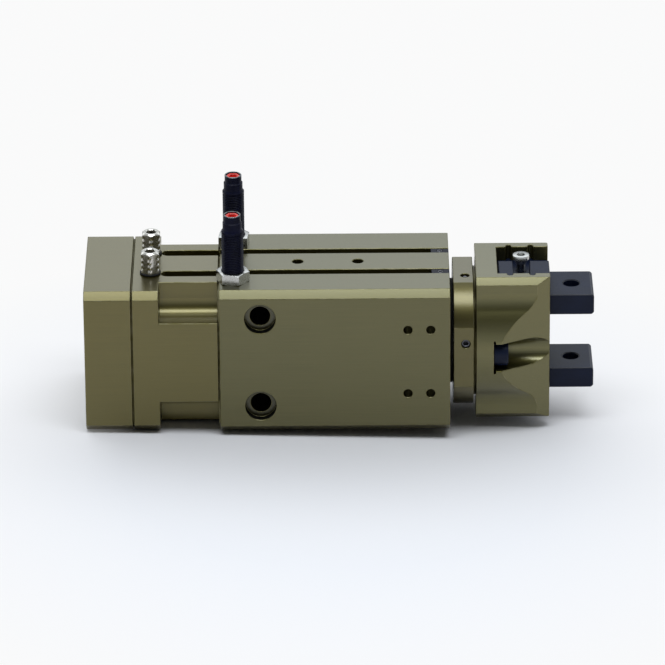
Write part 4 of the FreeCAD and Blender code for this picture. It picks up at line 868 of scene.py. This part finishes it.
class SWIVEL_OT_set_screws(bpy.types.Operator):
    """Make the clamp screws of the swivel flange and the screws of the slot clips"""
    bl_idname = "swivel.set_screws"
    bl_label = "Set screws"

    def execute(self, context):
        node = "flange_grub_screws"
        low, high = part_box(node)
        radius = (high.x - low.x) / 2
        x = middle(node).x
        off = low.z + radius
        rings = set_screw_rings(radius, sizes().clamp_long)
        places = [at(x, low.y, off, TO_VIEWER), at(x, -off, high.z)]
        finish = bright_finish("burnished_steel", colours().burnished, roughness=0.25)
        lofted_piece("clamp_screws_socketed", node, finish, [(rings, place) for place in places])
        node = "clip_screws"
        low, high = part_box(node)
        radius = (high.x - low.x) / 2
        rings = set_screw_rings(radius, high.z - low.z)
        places = [at(middle(node).x, y, high.z) for y in (low.y + radius, high.y - radius)]
        lofted_piece("clip_screws_socketed", node, finish, [(rings, place) for place in places])
        return {"FINISHED"}


# Stage

class SWIVEL_OT_stage(bpy.types.Operator):
    """Set up the floor, the light and the camera"""
    bl_idname = "swivel.stage"
    bl_label = "Stage"

    def execute(self, context):
        make_floor()
        make_strip_light()
        make_world()
        make_camera()
        context.scene.view_settings.view_transform = "Standard"
        return {"FINISHED"}


def reckon(tree, operation, *values):
    """A math node whose inputs are sockets or numbers."""
    node = tree.nodes.new("ShaderNodeMath")
    node.operation = operation
    for target, value in zip(node.inputs, values):
        if isinstance(value, bpy.types.NodeSocket):
            tree.links.new(value, target)
        else:
            target.default_value = value
    return node.outputs[0]


def make_floor():
    build = bmesh.new()
    bmesh.ops.create_circle(build, cap_ends=True, segments=FLOOR_SEGMENTS, radius=stage().floor_r)
    mesh = bpy.data.meshes.new("studio_floor")
    build.to_mesh(mesh)
    build.free()
    floor = bpy.data.objects.new("studio_floor", mesh)
    slope = stage().floor_slope
    mid = (CAD_BOX[0].x + CAD_BOX[1].x) / 2
    floor.location = mid, -stage().floor_near, CAD_BOX[0].z - (mid - CAD_BOX[0].x) * math.tan(slope)
    floor.rotation_euler.y = slope
    mesh.materials.append(floor_finish())
    bpy.context.scene.collection.objects.link(floor)


def floor_finish():
    """Matt near the object, so that it keeps the shadow, and even white far from it."""
    finish = Finish("studio_floor", colours().floor, metallic=0.0, roughness=0.9).specular(level=0.0)
    far = finish.add("ShaderNodeVectorMath", operation="LENGTH")
    finish.link(finish.place, far.inputs[0])
    ring = finish.span(far.outputs["Value"], 0.0, 1.0, stage().glow_start, stage().glow_end)
    glow = finish.add("ShaderNodeEmission")
    glow.inputs["Color"].default_value = (*colours().backdrop, 1.0)
    mix = finish.add("ShaderNodeMixShader")
    finish.link(reckon(finish.tree, "MULTIPLY", ring, seen_directly(finish.tree)), mix.inputs[0])
    finish.link(finish.shader.outputs[0], mix.inputs[1])
    finish.link(glow.outputs[0], mix.inputs[2])
    finish.link(mix.outputs[0], finish.tree.nodes["Material Output"].inputs["Surface"])
    return finish.material


def seen_directly(tree):
    """One for rays from the camera and for those that metal or glass sends on."""
    path = tree.nodes.new("ShaderNodeLightPath").outputs
    both = reckon(tree, "MAXIMUM", path["Is Camera Ray"], path["Is Glossy Ray"])
    return reckon(tree, "MAXIMUM", both, path["Is Transmission Ray"])


def make_strip_light():
    """A long softbox overhead, a little to the viewer's side, turned towards the object."""
    light = bpy.data.lights.new("strip_light", "AREA")
    light.shape = "RECTANGLE"
    light.size, light.size_y = stage().strip_long, stage().strip_wide
    light.energy = stage().strip
    light.color = stage().daylight
    item = bpy.data.objects.new("strip_light", light)
    away = Vector((0.0, -stage().strip_near, stage().strip_up))
    item.location = away + Vector((CAD_BOX[1].x / 2, 0.0, 0.0))
    item.rotation_euler = away.to_track_quat("Z", "Y").to_euler()
    bpy.context.scene.collection.objects.link(item)


def make_world():
    """A light tent; metal also sees a pale card on the viewer's side, and the camera sees plain white."""
    world = bpy.data.worlds.new("studio")
    bpy.context.scene.world = world
    world.use_nodes = True
    tree = world.node_tree
    place = tree.nodes.new("ShaderNodeTexCoord")
    split = tree.nodes.new("ShaderNodeSeparateXYZ")
    tree.links.new(place.outputs["Generated"], split.inputs[0])
    front = reckon(tree, "MULTIPLY", split.outputs["Y"], -1.0)
    height = reckon(tree, "ARCTAN2", split.outputs["Z"], front)
    along = spread(tree, height, math.pi, 0.0, 1.0)
    level = reckon(tree, "MULTIPLY", tent_ramp(tree, along), max(stage().tent))
    card = spread(tree, along, stage().card_top / math.pi, stage().card, 0.0)
    path = tree.nodes.new("ShaderNodeLightPath").outputs
    seen = tree.nodes.new("ShaderNodeMix")
    tree.links.new(path["Is Camera Ray"], seen.inputs["Factor"])
    tree.links.new(reckon(tree, "MULTIPLY_ADD", card, path["Is Glossy Ray"], level), seen.inputs["A"])
    seen.inputs["B"].default_value = 1.0
    back = tree.nodes["Background"]
    back.inputs["Color"].default_value = (*stage().daylight, 1.0)
    tree.links.new(seen.outputs["Result"], back.inputs["Strength"])


def spread(tree, source, end, low, high):
    """Carry a value from zero up to an end over to a range."""
    node = tree.nodes.new("ShaderNodeMapRange")
    for name, value in (("From Max", end), ("To Min", low), ("To Max", high)):
        node.inputs[name].default_value = value
    tree.links.new(source, node.inputs["Value"])
    return node.outputs["Result"]


def tent_ramp(tree, along):
    """The tent's light from the viewer's horizon, over the top, to the one behind, as shares of the most."""
    ramp = tree.nodes.new("ShaderNodeValToRGB")
    stops = ramp.color_ramp.elements
    tent = stage().tent
    last = len(tent) - 1
    for index, light in enumerate(tent):
        where = (TENT_FIRST + TENT_STEP * index) / TENT_END
        stop = stops[index] if index in (0, last) else stops.new(where)
        stop.position = where
        grey = light / max(tent)
        stop.color = (grey, grey, grey, 1.0)
    tree.links.new(along, ramp.inputs["Fac"])
    return ramp.outputs["Color"]


def make_camera():
    view = stage()
    rise, yaw, roll = view.elevation, view.yaw, view.roll
    back = Vector((math.sin(yaw) * math.cos(rise), -math.cos(yaw) * math.cos(rise), math.sin(rise)))
    right = Vector((math.cos(yaw), math.sin(yaw), 0.0))
    up = back.cross(right)
    across = math.cos(roll) * right + math.sin(roll) * up
    upward = math.cos(roll) * up - math.sin(roll) * right
    lens = bpy.data.cameras.new("camera")
    lens.lens = view.lens
    lens.sensor_width = SENSOR
    lens.shift_x = view.shift_x
    lens.shift_y = view.shift_y
    lens.clip_start = CLIP_START
    lens.clip_end = CLIP_END
    camera = bpy.data.objects.new("camera", lens)
    turn = Matrix((across, upward, back)).transposed().to_4x4()
    stand = Vector((view.target_x, 0.0, 0.0)) + back * view.distance
    camera.matrix_world = Matrix.Translation(stand) @ turn
    bpy.context.scene.collection.objects.link(camera)
    bpy.context.scene.camera = camera


class VIEW3D_PT_swivel_module(bpy.types.Panel):
    """Lists the steps that dress the module, with the sizes and colours they read"""
    bl_label = "Gripper swivel module"
    bl_idname = "VIEW3D_PT_swivel_module"
    bl_space_type = "VIEW_3D"
    bl_region_type = "UI"
    bl_category = "Swivel module"

    def draw(self, context):
        layout = self.layout
        for step in STEPS:
            layout.operator(step.bl_idname)
        for group in (context.scene.swivel_sizes, context.scene.swivel_colours, context.scene.swivel_stage):
            column = layout.box().column()
            for name in group.__annotations__:
                column.prop(group, name)


STEPS = (
    SWIVEL_OT_finishes, SWIVEL_OT_bore_shade, SWIVEL_OT_shock_bodies, SWIVEL_OT_lock_nuts,
    SWIVEL_OT_adjusters, SWIVEL_OT_air_fittings, SWIVEL_OT_fitting_seals, SWIVEL_OT_cap_screws,
    SWIVEL_OT_set_screws, SWIVEL_OT_stage)
GROUPS = {"swivel_colours": SwivelColours, "swivel_sizes": SwivelSizes, "swivel_stage": SwivelStage}


def register():
    for name, group in GROUPS.items():
        bpy.utils.register_class(group)
        setattr(bpy.types.Scene, name, PointerProperty(type=group))
    for step in STEPS:
        bpy.utils.register_class(step)
    bpy.utils.register_class(VIEW3D_PT_swivel_module)


def unregister():
    bpy.utils.unregister_class(VIEW3D_PT_swivel_module)
    for step in reversed(STEPS):
        bpy.utils.unregister_class(step)
    for name, group in GROUPS.items():
        delattr(bpy.types.Scene, name)
        bpy.utils.unregister_class(group)


def main():
    register()
    bpy.ops.swivel.finishes()
    bpy.ops.swivel.bore_walls()
    bpy.ops.swivel.shock_bodies()
    bpy.ops.swivel.lock_nuts()
    bpy.ops.swivel.adjusters()
    bpy.ops.swivel.air_fittings()
    bpy.ops.swivel.fitting_seals()
    bpy.ops.swivel.cap_screws()
    bpy.ops.swivel.set_screws()
    bpy.ops.swivel.stage()


if __name__ == "__main__":
    main()
